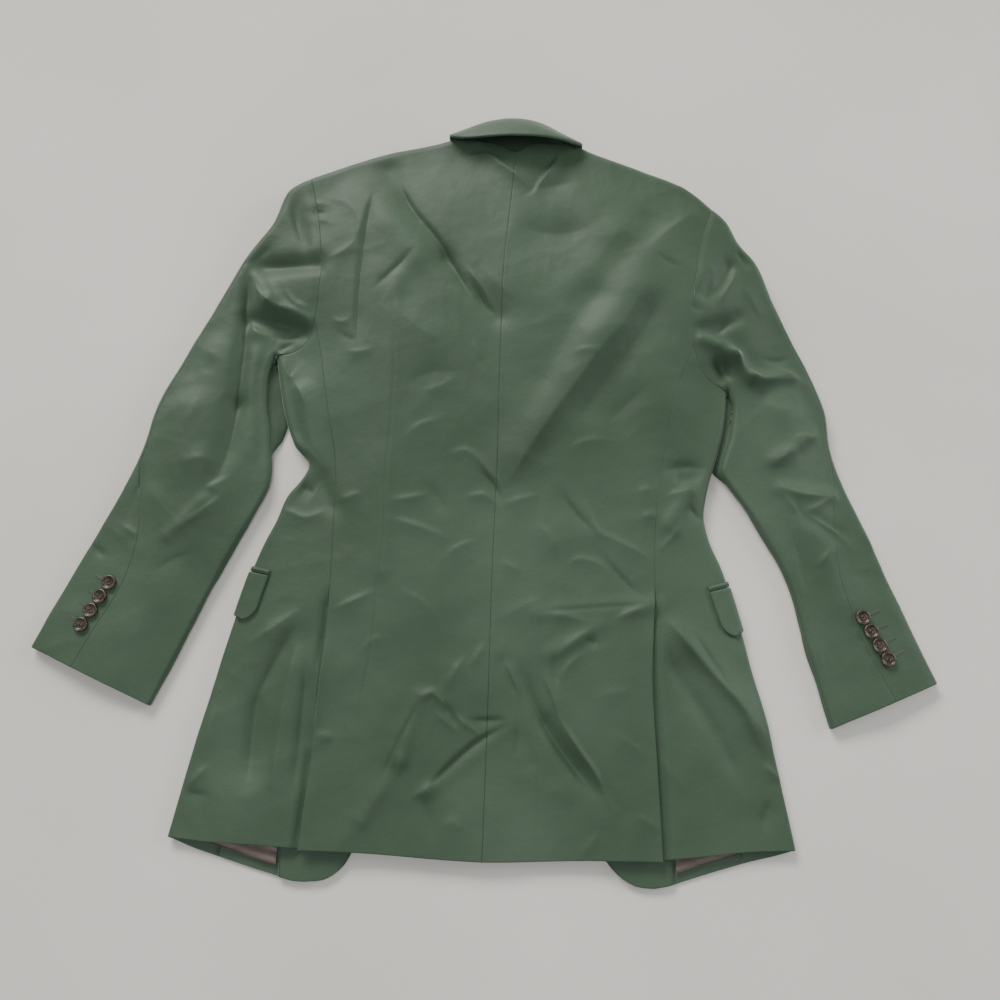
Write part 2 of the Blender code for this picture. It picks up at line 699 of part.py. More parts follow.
def add_body(grids):
    shares = (outer_shares("left", grids["left"]) + outer_shares("right", grids["right"])) / 2
    for side in ("left", "right"):
        back = back_grid(side, grids[side], shares)
        add_cloth(f"back_{side}", turned(inset(back), side))
        add_cloth(f"side_{side}", turned(inset(side_grid(side, grids[side])), side))
        front = front_grid(side, grids[side])
        add_cloth(f"front_{side}", turned(inset(front)[:, ::-1], side))


def add_lapels():
    for side, outward in (("left", -1), ("right", 1)):
        edge = FRONT_EDGES[side]
        rows = []
        for y, width in LAPEL_WIDTHS:
            roll = np.interp(y, edge[::-1, 1], edge[::-1, 0]) + outward * 1.5
            rows.append([(roll + outward * width * share, y, LAPEL_CLOTH) for share in even(4)])
        grid = np.array(rows, float)
        add_cloth(f"lapel_{side}", turned(grid[:, ::-1], side), wall=LAPEL_CLOTH)


# ---------------------------------------------------------------- collar


def add_collar():
    rows = smooth([(100 * r[0], *r[1:]) for r in COLLAR])
    rows = along(rows, even(COLLAR_COLUMNS))
    neck = smooth(NECKLINE)
    seam = along(neck, rows[:, 0] / 100)
    along_neck = np.gradient(seam, axis=0)
    outward = np.stack([-along_neck[:, 1], along_neck[:, 0]], axis=-1)
    outward /= np.linalg.norm(outward, axis=-1, keepdims=True)
    seam = lift(seam, True)[:, :3]
    seam[:, :2] += outward * (SEAM_GAP + COLLAR_CLOTH / 2)
    seam[:, 2] = np.maximum(seam[:, 2] + COLLAR_SEAM_RISE, COLLAR_END_HEIGHT)
    fold, fall = rows[:, 1:4], rows[:, 4:7]
    size = np.minimum(COLLAR_TURN, 0.25 * np.linalg.norm(fold - seam, axis=1))[:, None]
    below = fold + size * np.array([0, -1.0, -1.0])
    above = fold + size * np.array([0, -1.0, 1.0])
    arch = (above + fall) / 2 + np.array([0, 0, 1.5])
    stand = (seam + below) / 2 + np.array([0, 0, -1.5])
    grid = np.stack([seam, stand, below, fold, above, arch, fall])
    add_cloth("collar", grid, wall=COLLAR_CLOTH, centred=True)


# ---------------------------------------------------------------- inside of the front quarters

def add_quarter_inside(side):
    """Facing along the front edge and lining beside it, where they show below the back."""
    inward = 1 if side == "left" else -1
    place = QUARTERS[side]
    hem = smooth(HEM_FRONT_LEFT if side == "left" else HEM_FRONT_RIGHT, 1.0)
    edge = smooth(FRONT_EDGES[side][FRONT_EDGES[side][:, 1] < FACING_TOP][::-1], 1.0)
    run = hem[hem[:, 0] * inward > place["split"] * inward]
    outer = np.vstack([run, edge[1:]])
    outer = along(outer, even(12))
    top = np.array((place["split"] + inward * 52, FACING_TOP))
    inner = np.linspace(np.array((place["split"], LINING_TOP - 20)), top, 13)
    facing = np.stack([inner, (inner + outer) / 2, outer])
    facing = inset(facing, 1.2)
    add_floor_layer(f"facing_{side}", facing, side)
    beside = hem[:, 0] * inward
    low, high = place["lining_end"] * inward, place["split"] * inward - 1.0
    run = hem[(beside > low) & (beside < high)]
    lower = along(run, even(5)) + np.array((0, LINING_RISE))
    upper = lower.copy()
    upper[:, 1] = LINING_TOP
    lining = np.stack([upper, (upper + lower) / 2, lower])
    add_floor_layer(f"front_lining_{side}", inset(lining, 0.4), side, kind="lining")


def add_floor_layer(name, plan, side, kind="cloth"):
    z = np.full(plan.shape[:2] + (1,), INSIDE_LIFT + LINING_CLOTH)
    grid = np.concatenate([plan, z], axis=-1)
    add_cloth(name, turned(grid, side), wall=LINING_CLOTH, kind=kind)


# ---------------------------------------------------------------- pockets and buttons


def pocket_grid(side, down_from, down_to, corner):
    """A strip across the side panel, from the pocket's inner end to the folded edge."""
    place = POCKETS[side]
    inner_x, inner_y = place["inner"]
    rows = []
    for share in even(5):
        drop = down_from + (down_to - down_from) * share
        edge_y = place["outer_y"] - drop
        edge_x = np.interp(edge_y, SIDE_EDGES[side][::-1, 1], SIDE_EDGES[side][::-1, 0])
        outward = np.sign(edge_x)
        shift = outward * drop * 0.28
        round_off = 0.0
        if corner:
            part = max(0.0, (drop - down_to + corner) / corner)
            round_off = corner * (1 - math.sqrt(max(0.0, 1 - part * part)))
        start = np.array((inner_x + shift + outward * round_off, inner_y - drop))
        end = np.array((edge_x, edge_y))
        width = np.linalg.norm(end - start)
        turn = fold_depth(edge_y) * (1 - np.cos(even(3) * math.pi / 2)) / width
        shares = np.concatenate([(1 - turn[-1]) * even(3), 1 - turn[-2::-1]])
        rows.append(start + (end - start) * shares[:, None])
    return lift(np.array(rows), True)


def add_pocket(side):
    drop = POCKETS[side]["drop"]
    flap = pocket_grid(side, 0.0, drop, FLAP_CORNER)
    welt = pocket_grid(side, -WELT_HEIGHT - WELT_GAP, -WELT_GAP, 0)
    for name, grid in (("pocket_flap", flap), ("pocket_welt", welt)):
        outward = grid[:, ::-1] if side == "left" else grid
        add_cloth(f"{name}_{side}", raised(outward, POCKET_LIFT + FLAP_CLOTH), wall=FLAP_CLOTH)


def turned_points(profile, sides):
    points, faces = [], []
    for radius, height in profile[1:-1]:
        for k in range(sides):
            angle = 2 * math.pi * k / sides
            points.append((radius * math.cos(angle), radius * math.sin(angle), height))
    rings = len(profile) - 2
    for ring in range(rings - 1):
        for k in range(sides):
            a, b = ring * sides + k, ring * sides + (k + 1) % sides
            faces.append((a, a + sides, b + sides, b))
    points += [(0, 0, profile[0][1]), (0, 0, profile[-1][1])]
    face_middle, back_middle = len(points) - 2, len(points) - 1
    for k in range(sides):
        faces.append((face_middle, k, (k + 1) % sides))
        last = (rings - 1) * sides
        faces.append((back_middle, last + (k + 1) % sides, last + k))
    return np.array(points), faces


def add_buttons(side):
    first, last = (np.array(p, float) for p in BUTTON_ROWS[side])
    shape, faces = turned_points(BUTTON_PROFILE, BUTTON_SIDES)
    for number, share in enumerate(even(BUTTON_COUNT - 1), start=1):
        place = first + (last - first) * share
        around = np.array([[place + (x, y) for x in (-6, 0, 6)] for y in (6, 0, -6)], float)
        ground = lift(around, True)[..., :3]
        up = normals(ground)[1, 1]
        across = np.cross((0, 1.0, 0), up)
        across /= np.linalg.norm(across)
        frame = np.stack([across, np.cross(up, across), up])
        points = ground[1, 1] + up * BUTTON_LIFT + shape @ frame
        add_object(f"cuff_button_{side}_{number}", points, faces, "button")


def clear_scene():
    for old in list(bpy.data.objects):
        bpy.data.objects.remove(old, do_unlink=True)


def main():
    clear_scene()
    grids = {side: sleeve_grids(side) for side in ("left", "right")}
    add_body(grids)
    add_lapels()
    add_collar()
    for side in ("left", "right"):
        add_sleeve(side, grids[side])
        add_quarter_inside(side)
        add_pocket(side)
        add_buttons(side)


main()
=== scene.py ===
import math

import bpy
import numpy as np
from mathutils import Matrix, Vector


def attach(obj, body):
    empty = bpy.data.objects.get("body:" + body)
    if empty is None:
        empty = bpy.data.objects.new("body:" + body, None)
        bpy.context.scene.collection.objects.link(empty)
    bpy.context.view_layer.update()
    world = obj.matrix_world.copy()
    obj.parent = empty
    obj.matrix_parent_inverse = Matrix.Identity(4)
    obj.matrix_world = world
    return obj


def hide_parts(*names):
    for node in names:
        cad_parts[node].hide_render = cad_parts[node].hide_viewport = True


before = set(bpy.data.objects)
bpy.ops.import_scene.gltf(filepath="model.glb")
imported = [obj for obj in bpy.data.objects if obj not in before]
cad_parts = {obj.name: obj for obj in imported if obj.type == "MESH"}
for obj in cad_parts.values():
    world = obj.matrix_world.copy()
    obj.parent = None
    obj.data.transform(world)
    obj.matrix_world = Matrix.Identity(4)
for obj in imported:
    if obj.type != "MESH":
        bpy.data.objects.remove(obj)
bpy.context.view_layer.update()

# Suit jacket laid out flat on its front, back up. The finished pieces are worked out here
# on the same form as the solids that they replace. Tables and functions are in
# millimetres until a mesh is made: +Y runs from the hem to the collar, the wearer's left
# is at -X, and the floor is z = 0. A share runs from 0 to 1.

MM = 0.001
TINY = 1e-9
MIDDLE = (0.0, 2.1, 0.0)  # middle of the outline on the floor, which becomes the origin
SIDES = ("left", "right")
INWARD = {"left": 1, "right": -1}  # along x to the middle of the jacket

# Walls and gaps.
CLOTH = 1.8  # shell cloth with its interlining, as the solids have it
FINE_WALL = 1.5  # the same cloth's wall here
LAPEL_CLOTH = 1.5
LINING_CLOTH = 1.0
COLLAR_CLOTH = 2.4
FLAP_CLOTH = 1.6
SEAM_GAP = 0.36
LYING_GAP = 0.6  # between layers that lie on each other

# Shape of a folded edge, and of the rise from it to the middle of a piece.
FOLD_SHARE = 0.42  # depth of the turn, as a share of the edge's height
CROWN_REACH = 45.0
CREASE_START = 9.0  # how far inside a folded edge the creases set in
SOFT_MINIMUM = 12.0
EDGE_BLEND = 2.5

# Height of the folded edges and the extra height inside them, by the distance up the
# jacket: y, edge, crown.
HEIGHTS = (
    (-384, 7.0, 2.0), (-200, 8.0, 4.0), (-60, 9.5, 7.0), (40, 12.0, 10.0), (120, 16.0, 13.0),
    (200, 21.0, 13.0), (300, 26.0, 7.0), (384, 26.0, 3.0),
)

# Lines of the body in plan: x, y from top to bottom. The neckline runs from left to right,
# and the centre seam starts on it.
NECKLINE = ((-34, 367), (-14, 363), (14, 357), (34, 346), (50, 355), (80, 358), (101, 360))
CENTRE_SEAM = (
    (34, 346), (29, 292), (22, 225), (17, 111), (14, 0), (10, -90), (6, -220), (1, -361),
)
SHOULDER = {
    "left": ((-34, 369), (-65, 363), (-111, 352), (-160, 333), (-184, 323)),
    "right": ((101, 361), (126, 350), (170, 332), (218, 308), (241, 286)),
}
ARMHOLE = {
    "left": (
        (-184, 323), (-175, 284), (-169, 247), (-166, 213), (-168, 180), (-171, 155), (-178, 136),
        (-192, 124), (-211, 120),
    ),
    "right": (
        (241, 286), (231, 258), (221, 222), (214, 184), (212, 149), (214, 118), (222, 99),
        (232, 89), (246, 82),
    ),
}
EDGE = {
    "left": (
        (-211, 120), (-206, 92), (-199, 60), (-188, 28), (-172, 4), (-177, -6), (-192, -26),
        (-200, -48), (-211, -72), (-234, -146), (-256, -236), (-280, -340),
    ),
    "right": (
        (246, 82), (241, 47), (231, 12), (220, -21), (215, -48), (219, -71), (229, -97),
        (254, -203), (269, -280), (280, -352),
    ),
}
SEAM = {
    "left": (
        (-171, 155), (-163, 115), (-154, 60), (-145, 7), (-144, -46), (-144, -108), (-148, -182),
        (-154, -264), (-162, -351),
    ),
    "right": (
        (213, 130), (192, 77), (176, 2), (168, -46), (163, -132), (158, -197), (159, -268),
        (161, -361),
    ),
}
VENT_TOP = -112.0  # the side seams are open below this
VENT_LAP = 20.0  # how far a side panel runs on under the back
VENT_DIP = 3.6  # how much lower it lies there
VENT_SLOPE = 11.0
VENT_START = 24.0  # length over which a side panel sinks under the back
VENT_CURL = 1.3  # how far the back's vent edges lift
CURL_START, CURL_RUN, CURL_REACH = 20.0, 60.0, 9.0  # below the vent's top, and from its edge

# The hem of the upper layer, from the left vent to the right one and from the folded edges
# to the vents, then of the fronts below it, which come round to the front edge.
HEM_BACK = ((-162, -351), (-114, -353), (1, -361), (97, -360), (161, -361))
HEM_SIDE = {
    "left": ((-280, -340), (-245, -344), (-202, -347), (-162, -351)),
    "right": ((280, -352), (239, -353), (200, -357), (161, -361)),
}
HEM_FRONT = {
    "left": (
        (-280, -340), (-258, -349), (-233, -357), (-211, -364), (-187, -371), (-166, -377),
        (-155, -378),
    ),
    "right": (
        (280, -352), (260, -357), (241, -361), (214, -368), (182, -377), (165, -382), (153, -384),
    ),
}
FRONT_EDGE = {
    "left": (
        (-34, 369), (-27, 300), (-13, 190), (3, 80), (14, 0), (19, -50), (10, -100), (-22, -170),
        (-62, -250), (-98, -320), (-115, -353), (-124, -367), (-138, -376), (-155, -378),
    ),
    "right": (
        (101, 361), (90, 300), (66, 190), (38, 80), (12, 0), (-2, -50), (4, -100), (30, -170),
        (66, -250), (98, -330), (112, -362), (123, -374), (137, -382), (153, -384),
    ),
}
CLOSURE = (-160.0, 110.0)  # y between which the right front lies on the left one
CLOSURE_REACH = 44.0
CLOSURE_ENDS, CLOSURE_SIDE = 30.0, 20.0  # lengths over which it rises and sinks

# Lapels, turned back under the fronts: y, distance of the outer edge from the roll line.
LAPEL_WIDTHS = (
    (322, 40), (304, 62), (286, 80), (262, 84), (256, 72), (180, 62), (110, 40), (50, 12),
)
LAPEL_MARGIN = 16.0  # length over which the front sinks beside its lapel
LAPEL_CLEAR = 2.4  # margins from the lapel's edge to where it has sunk
LAPEL_END = 20.0  # y below which a front lies on the floor again
LAPEL_GAP = 1.0
LAPEL_ROLL = 1.5  # from the front's edge to the roll line
LAPEL_LEAST = 8.0  # least width
SHOULDER_CLEAR, SHOULDER_RISE = 3.0, 14.0  # from the shoulder's fold, before the front rises

# Sleeves, a row for each section from armhole to cuff:
# outer x, y, inner x, y, share of the width at which the hind seam lies.
SLEEVE = {
    "left": (
        (-184, 323, -211, 120, 0.45), (-207, 309, -215, 107, 0.28), (-222, 270, -217, 95, 0.1),
        (-247, 233, -217, 82, 0.0), (-262, 203, -216, 66, 0.0), (-284, 158, -212, 44, 0.0),
        (-306, 114, -211, 24, 0.0), (-327, 68, -209, 3, 0.0), (-337, 24, -211, -18, 0.0),
        (-352, -16, -222, -42, 0.12), (-371, -58, -241, -78, 0.3), (-394, -106, -262, -124, 0.39),
        (-410, -141, -284, -174, 0.375), (-424, -172, -307, -226, 0.36),
    ),
    "right": (
        (241, 286, 246, 82, 0.45), (256, 270, 250, 70, 0.28), (267, 246, 250, 58, 0.1),
        (284, 224, 248, 46, 0.0), (299, 180, 245, 32, 0.0), (315, 138, 241, 20, 0.0),
        (331, 99, 237, 9, 0.0), (343, 60, 235, -2, 0.0), (345, 22, 241, -14, 0.0),
        (355, -17, 257, -38, 0.12), (371, -60, 275, -70, 0.32), (388, -110, 293, -112, 0.5),
        (406, -160, 305, -170, 0.49), (424, -206, 322, -247, 0.42),
    ),
}
SLEEVE_LENGTH = 620.0
ARMHOLE_FADE = 0.34  # share of the sleeve over which its sections lose the armhole's curve
SLEEVE_HEAD = 0.9  # how proud of the body a sleeve's head stands
HEAD_START, HEAD_END = 0.012, 0.062  # shares of the sleeve between which it sinks again
# Nearer to the armhole than this share, the hind seam is pressed flat.
PRESSED_FROM, PRESSED_OVER = 0.13, 0.08
TOP_WIDTH = 56.0  # from the outer edge to the hind seam
UNDER_WIDTH = 140.0
FLOOR_WIDTH = 80.0  # from the forearm seam to the outer fold
PRESSED_REACH = 2.2  # how narrow the pressed stretch is
LEAST_HIND_TURN = 1.75  # the hind seam lies no further round the outer fold
FOREARM_SEAM = 40.0  # from the inner edge, on the floor side
BOW_FADE = (2, 14)  # powers with which the armhole's curve fades, more at the armpit
# Columns on the floor side, round the outer fold, on the upper side, round the inner fold.
FLOOR_COLUMNS, OUTER_COLUMNS, UPPER_COLUMNS, INNER_COLUMNS = 9, 8, 58, 14
FRONT_SEAM_INSET = 52.0  # the seam between side panel and front, from the folded edge
FLOOR_SHARE = 0.195  # share of the armhole that the side panel takes on the floor side
SEAM_TOP_BEND, SEAM_HEM_BEND = 0.14, 0.1  # shares over which that seam bends to its ends
PANEL_COLUMNS = 16  # on the floor side
# How far the sleeve's lower cloth runs on towards the body below the armpit: y, distance.
# Then the turns at which it sets in and fades, with the turn that each takes.
UNDER_REACH = {
    "left": ((118, 0), (102, 9), (88, 15), (60, 17), (44, 17), (30, 12), (16, 0)),
    "right": ((96, 0), (82, 9), (62, 14), (24, 16), (10, 14), (-4, 8), (-14, 0)),
}
REACH_IN, REACH_OUT = (3.35, 0.6), (4.0, 0.9)

# Largest folds: x, y to x, y, half width, rise above the form.
FOLDS = (
    (-110, 345, -40, 221, 13, -3.0), (-40, 221, 14, 157, 11, -3.5), (-128, 300, -70, 222, 16, 2.5),
    (215, 273, 118, 142, 22, 3.0), (118, 142, 27, 5, 20, 2.5), (170, 262, 112, 180, 16, -2.5),
    (112, 180, 60, 92, 16, -2.5), (-89, 199, -96, -100, 9, 1.5), (-244, 217, -172, 215, 11, -7.0),
    (-201, 299, -183, 236, 8, -2.5), (-238, 211, -217, 175, 8, 4.0),
    (-217, 175, -178, 155, 7, 4.0), (-236, 158, -184, 146, 9, -6.0),
    (-242, 200, -246, 70, 9, -4.0), (-246, 70, -264, -22, 9, -3.0), (-228, 120, -228, 20, 12, 2.5),
    (-300, 60, -290, 10, 24, 3.5), (-262, -22, -302, -67, 7, 2.5), (254, 214, 226, 178, 10, -5.0),
    (222, 134, 254, 116, 7, 5.0), (254, 116, 270, 94, 7, 4.5), (270, 94, 309, 95, 7, 3.5),
    (222, 142, 258, 158, 8, -4.0), (241, 108, 249, 70, 7, -7.0), (285, 8, 328, 36, 7, 3.0),
    (300, 50, 290, 20, 20, 3.0), (292, -20, 342, -26, 8, 3.0), (307, -45, 342, -66, 8, -2.5),
    (312, -50, 338, -128, 14, 3.0), (-180, 80, -165, 6, 12, 4.0), (-165, 2, -148, -36, 10, -3.0),
    (202, -24, 180, -56, 9, 4.0), (228, -6, 196, -10, 8, -3.0), (52, -142, 163, -133, 9, 2.5),
    (63, -180, 111, -152, 8, 2.0), (22, -187, 44, -276, 8, -2.0), (60, -243, 124, -321, 9, -2.5),
    (-57, -217, -73, -274, 8, 2.0), (-73, -274, -107, -325, 8, 2.0), (-46, -300, 26, -243, 8, 2.0),
)

# Collar, a row for each section from the left neck point to the right: hundredths of the
# neckline, fold line x, y, z, lower edge of the fall x, y, z.
COLLAR = (
    (0, -37, 369, 28, -33, 362, 34), (15, -20, 375, 29, -18, 357, 41),
    (32, 5, 384, 30, 8, 355, 47), (50, 33, 387, 31, 34, 354, 50), (67, 58, 382, 31, 58, 353, 50),
    (85, 86, 368, 29, 86, 353, 42), (100, 105, 358, 28, 100, 352, 34),
)
COLLAR_TURN = 4.5
COLLAR_BOW = 1.5  # how far stand and fall bow out
COLLAR_ROLL = 1.1
COLLAR_LENGTH, COLLAR_WIDTH = 160.0, 64.0
COLLAR_END_HEIGHT = 25.0
SEAM_ALLOWANCE = 6.0  # how far the stand runs down behind the neckline
NECK_LIFT, NECK_REACH = 2.5, 14.0  # rise of the back towards the collar

# Inside of the front quarters, where it shows below the back: where the facing's inner edge
# meets the hem, and the far end of the lining.
QUARTERS = {
    "left": {"split": -180.0, "lining_end": -246.0},
    "right": {"split": 171.0, "lining_end": 246.0},
}
FACING_TOP = -296.0
FACING_WIDTH = 52.0  # at the top
FACING_RUN = 20.0  # how far its inner edge runs on above the lining
LINING_TOP = -290.0
LINING_START = 1.0  # from the facing
LINING_RISE = 9.0  # the lining's lower edge stays this far above the hem
LINING_FOLDS = ((1.1, 4.0, 4.0), (-0.5, 11.0, 2.5))  # rise, distance from its edge, half width
INSIDE_STEP = 2.0
INSIDE_LIFT = CLOTH + LYING_GAP

# Pocket flaps: the welt's ends, and the lower line's distance down from it.
POCKETS = {
    "left": {"inner": (-204, -105), "outer_y": -101},
    "right": {"inner": (216, -121), "outer_y": -116},
}
FLAP_DROP = 42.0
FLAP_CORNER = 12.0
FLAP_SLANT = 0.28
WELT_HEIGHT = 4.6
WELT_GAP = 0.8
WELT_SINK = 0.4  # how much lower than the flap the welt lies
POCKET_LIFT = 1.1
POCKET_ROLL = 0.8
POCKET_COLUMNS = 26
POCKET_STEP = 1.2

# Cuff buttons: the first and the last one's place on the sleeve, and the far ends of the
# four buttonholes.
BUTTON_ROWS = {
    "left": ((-354.5, -112), (-376.5, -152)),
    "right": ((357.5, -145.5), (377.5, -184.5)),
}
BUTTONHOLE_ENDS = {
    "left": ((-370, -105), (-375, -119), (-382, -130), (-389, -143)),
    "right": ((375, -139), (381, -152), (388, -164), (395, -176)),
}
BUTTON_SPIN = (0.5, 0.9, 0.35, 1.2)
BUTTON_PROFILE = (  # radius, height
    (0.0, 1.55), (2.6, 1.5), (4.2, 1.62), (4.7, 1.95), (5.1, 2.7), (5.6, 3.12), (6.2, 3.2),
    (6.7, 2.95), (7.0, 2.3), (6.95, 1.5), (6.5, 0.7), (5.4, 0.2), (3.0, 0.0), (0.0, 0.0),
)
BUTTON_SIDES = 48
BUTTON_LIFT = 0.6
HOLE_PLACE = 1.55
HOLE_RADIUS = 0.72
HOLE_SIDES = 16
THREAD_RADIUS = 0.34
HOLE_ENDS = (-1.0, 4.0)
THREAD_SIDES = 8
THREAD_PLACES = (-0.3, 0.3)  # of the two stitches through a pair of holes
THREAD_LOW, THREAD_ARCH, THREAD_DIP = 1.45, 0.55, 0.8
THREAD_BEND = 0.85  # share of the way to a hole at which a stitch turns down
BUTTONHOLE_START = 2.0  # from the button's middle
BUTTONHOLE_TIP = 1.5
BUTTONHOLE_WIDTH = 1.25  # half
STITCH = 0.85  # length of a stitch of the buttonhole

# The photograph's view, from above and a little towards the hem.
CAMERA_TILT = math.radians(15.0)
CAMERA_PLACE = (17.0, -257.6, 858.7)
SENSOR = 36.0
VIEW_LENGTH = 900  # the lens's length in thousandths of the view's width

LIGHTS = (  # name, place, size, power, colour, in metres and watts
    ("key", (-2.5, 5.6, 3.4), (4.2, 2.1), 700.0, (1.0, 0.99, 0.96)),
    ("side", (2.9, 0.9, 1.15), (1.4, 1.0), 50.0, (0.97, 0.99, 1.0)),
    ("fill", (-0.2, -0.8, 2.4), (1.6, 1.6), 24.0, (0.95, 0.98, 1.0)),
)
SKY = (0.93, 0.96, 1.0, 1)
SKY_STRENGTH = 0.44
FLOOR_SIZE, FLOOR_DEPTH = 6000.0, 0.4


# ---- lines


def lengths(line):
    """Distance run along a line, at each of its points."""
    steps = np.linalg.norm(np.diff(line, axis=0), axis=1)
    return np.concatenate([[0.0], np.cumsum(steps)])


def smooth(points, step=4.0):
    """A soft curve through a few points or table rows, as a fine line."""
    p = np.array(points, float)
    s = lengths(p)
    slope = np.gradient(p, s, axis=0)
    at = np.linspace(0, s[-1], max(3, int(s[-1] / step) + 1))
    i = np.clip(np.searchsorted(s, at, side="right") - 1, 0, len(s) - 2)
    h = (s[i + 1] - s[i])[:, None]
    t = (at - s[i])[:, None] / h
    start = (2 * t**3 - 3 * t**2 + 1) * p[i] + (t**3 - 2 * t**2 + t) * h * slope[i]
    end = (3 * t**2 - 2 * t**3) * p[i + 1] + (t**3 - t**2) * h * slope[i + 1]
    return start + end


def along(line, shares):
    """Points at shares of a line's length."""
    s = lengths(line)
    at = np.asarray(shares) * s[-1]
    return np.stack([np.interp(at, s, line[:, k]) for k in range(line.shape[1])], axis=-1)


def even(count):
    return np.linspace(0, 1, count + 1)


def mix(a, b, share):
    return a * (1 - share) + b * share


def ease(t):
    t = np.clip(t, 0, 1)
    return t * t * (3 - 2 * t)


def bell(distance, width):
    return np.exp(-((distance / width) ** 2))


def unit(vectors):
    return vectors / np.maximum(np.linalg.norm(vectors, axis=-1, keepdims=True), TINY)


def after(line, x, y):
    """The rest of a line from its point nearest to a place, starting at that place."""
    place = np.array((x, y), float)
    first = int(np.argmin(np.linalg.norm(line - place, axis=1)))
    return np.vstack([place, line[first + 1 :]])


def line_x(line, y):
    """Where a line that runs down the jacket passes each y."""
    return np.interp(y, line[::-1, 1], line[::-1, 0])


def patch(top, bottom, left, right):
    """A grid filled in between four rows of points that meet at the corners."""
    run_top, run_bottom, run_left, run_right = map(lengths, (top, bottom, left, right))
    u = (run_top / run_top[-1] + run_bottom / run_bottom[-1])[None, :, None] / 2
    v = (run_left / run_left[-1] + run_right / run_right[-1])[:, None, None] / 2
    corners = (1 - u) * (1 - v) * top[0] + u * (1 - v) * top[-1]
    corners = corners + (1 - u) * v * bottom[0] + u * v * bottom[-1]
    return mix(top[None], bottom[None], v) + mix(left[:, None], right[:, None], u) - corners


def to_segment(points, a, b):
    """Distance from points to a straight stretch."""
    a, b = np.array(a, float), np.array(b, float)
    t = np.clip(((points - a) @ (b - a)) / max((b - a) @ (b - a), TINY), 0, 1)
    return np.linalg.norm(points - a - t[..., None] * (b - a), axis=-1)


def nearest(points, line):
    """The stretch of a line that is nearest to each point, the share of it at which the
    nearest place lies, and the way from there to the point."""
    p = points[:, None]
    a, d = line[None, :-1], np.diff(line, axis=0)[None]
    t = np.clip(((p - a) * d).sum(-1) / np.maximum((d * d).sum(-1), TINY), 0, 1)
    away = p - a - t[..., None] * d
    first = np.linalg.norm(away, axis=-1).argmin(axis=1)
    rows = np.arange(len(p))
    return first, t[rows, first], away[rows, first]


def to_line(points, line, hand):
    """Distance from points to a line, and the line's own outward direction there."""
    first, part, away = nearest(points.reshape(-1, 2), line)
    run = np.gradient(line, axis=0)
    out = hand * unit(np.stack([-run[:, 1], run[:, 0]], axis=-1))
    out = mix(out[first], out[first + 1], part[:, None])
    gap = np.linalg.norm(away, axis=-1)
    return gap.reshape(points.shape[:-1]), out.reshape(points.shape)


# ---- the shared form


def curves(lines):
    return {side: smooth(lines[side]) for side in SIDES}


SLEEVES, ARMHOLES, SHOULDERS = curves(SLEEVE), curves(ARMHOLE), curves(SHOULDER)
SIDE_EDGES, SIDE_SEAMS, FRONT_EDGES = curves(EDGE), curves(SEAM), curves(FRONT_EDGE)
FOLDED_EDGES = [  # each with the side on which its cloth turns, +1 for the left hand
    (SLEEVES["left"][:, 0:2], -1),
    (SLEEVES["left"][:, 2:4], 1),
    (SLEEVES["right"][:, 0:2], 1),
    (SLEEVES["right"][:, 2:4], -1),
]
FOLDED_EDGES += [(lines[s], -INWARD[s]) for lines in (SIDE_EDGES, SHOULDERS) for s in SIDES]
HEIGHT_CURVE = smooth(HEIGHTS, 6.0)


def edge_height(y):
    return np.interp(y, HEIGHT_CURVE[:, 0], HEIGHT_CURVE[:, 1])


def fold_depth(y):
    return FOLD_SHARE * edge_height(y)


def edge_places(points):
    """Distance to the folded edges, and the way out of the nearest one."""
    found = [to_line(points, line, hand) for line, hand in FOLDED_EDGES]
    gaps = np.stack([gap for gap, _ in found])
    near = gaps.min(axis=0)
    weight = np.exp((near - gaps) / EDGE_BLEND)
    return gaps, near, unit((np.stack([way for _, way in found]) * weight[..., None]).sum(axis=0))


def crown_rise(points, gaps, near):
    """Extra height inside the folded edges: the low crown and the largest folds."""
    depth = fold_depth(points[..., 1])
    soft = near - SOFT_MINIMUM * np.log(np.exp((near - gaps) / SOFT_MINIMUM).sum(axis=0))
    crown = np.interp(points[..., 1], HEIGHT_CURVE[:, 0], HEIGHT_CURVE[:, 2])
    z = crown * (1 - bell(np.maximum(soft - depth, 0), CROWN_REACH))
    set_in = 1 - bell(np.maximum(near - depth, 0), CREASE_START)
    for x0, y0, x1, y1, width, rise in FOLDS:
        z = z + rise * set_in * bell(to_segment(points, (x0, y0), (x1, y1)), width)
    return z


def normals(grid):
    return unit(np.cross(np.gradient(grid, axis=0), np.gradient(grid, axis=1)))


def inset(grid, distance):
    """A grid whose four borders are drawn in."""
    result = grid.copy()
    columns = (np.s_[:, 0], np.s_[:, 1]), (np.s_[:, -1], np.s_[:, -2])
    for border, inner in ((0, 1), (-1, -2), *columns):
        result[border] += unit(grid[inner] - grid[border]) * distance
    return result


# ---- the finished surface

STEP = 1.7  # spacing of the fine grids
EDGE_WIDTH = 0.14  # of the steep last part of a turned border
BORDER = np.array((0.0, EDGE_WIDTH, 0.45, 0.8, 1.3, 2.0, 3.2))  # closer columns at a border
FOLD_STEPS = 9
ROLL = 0.5  # radius with which cloth turns into a seam or over an edge
ROLL_REACH = 2.4  # radii over which a border turns down
ROLL_SOFT, ROLL_STEEP = 0.7, 0.9  # radii by which it turns down softly, then steeply

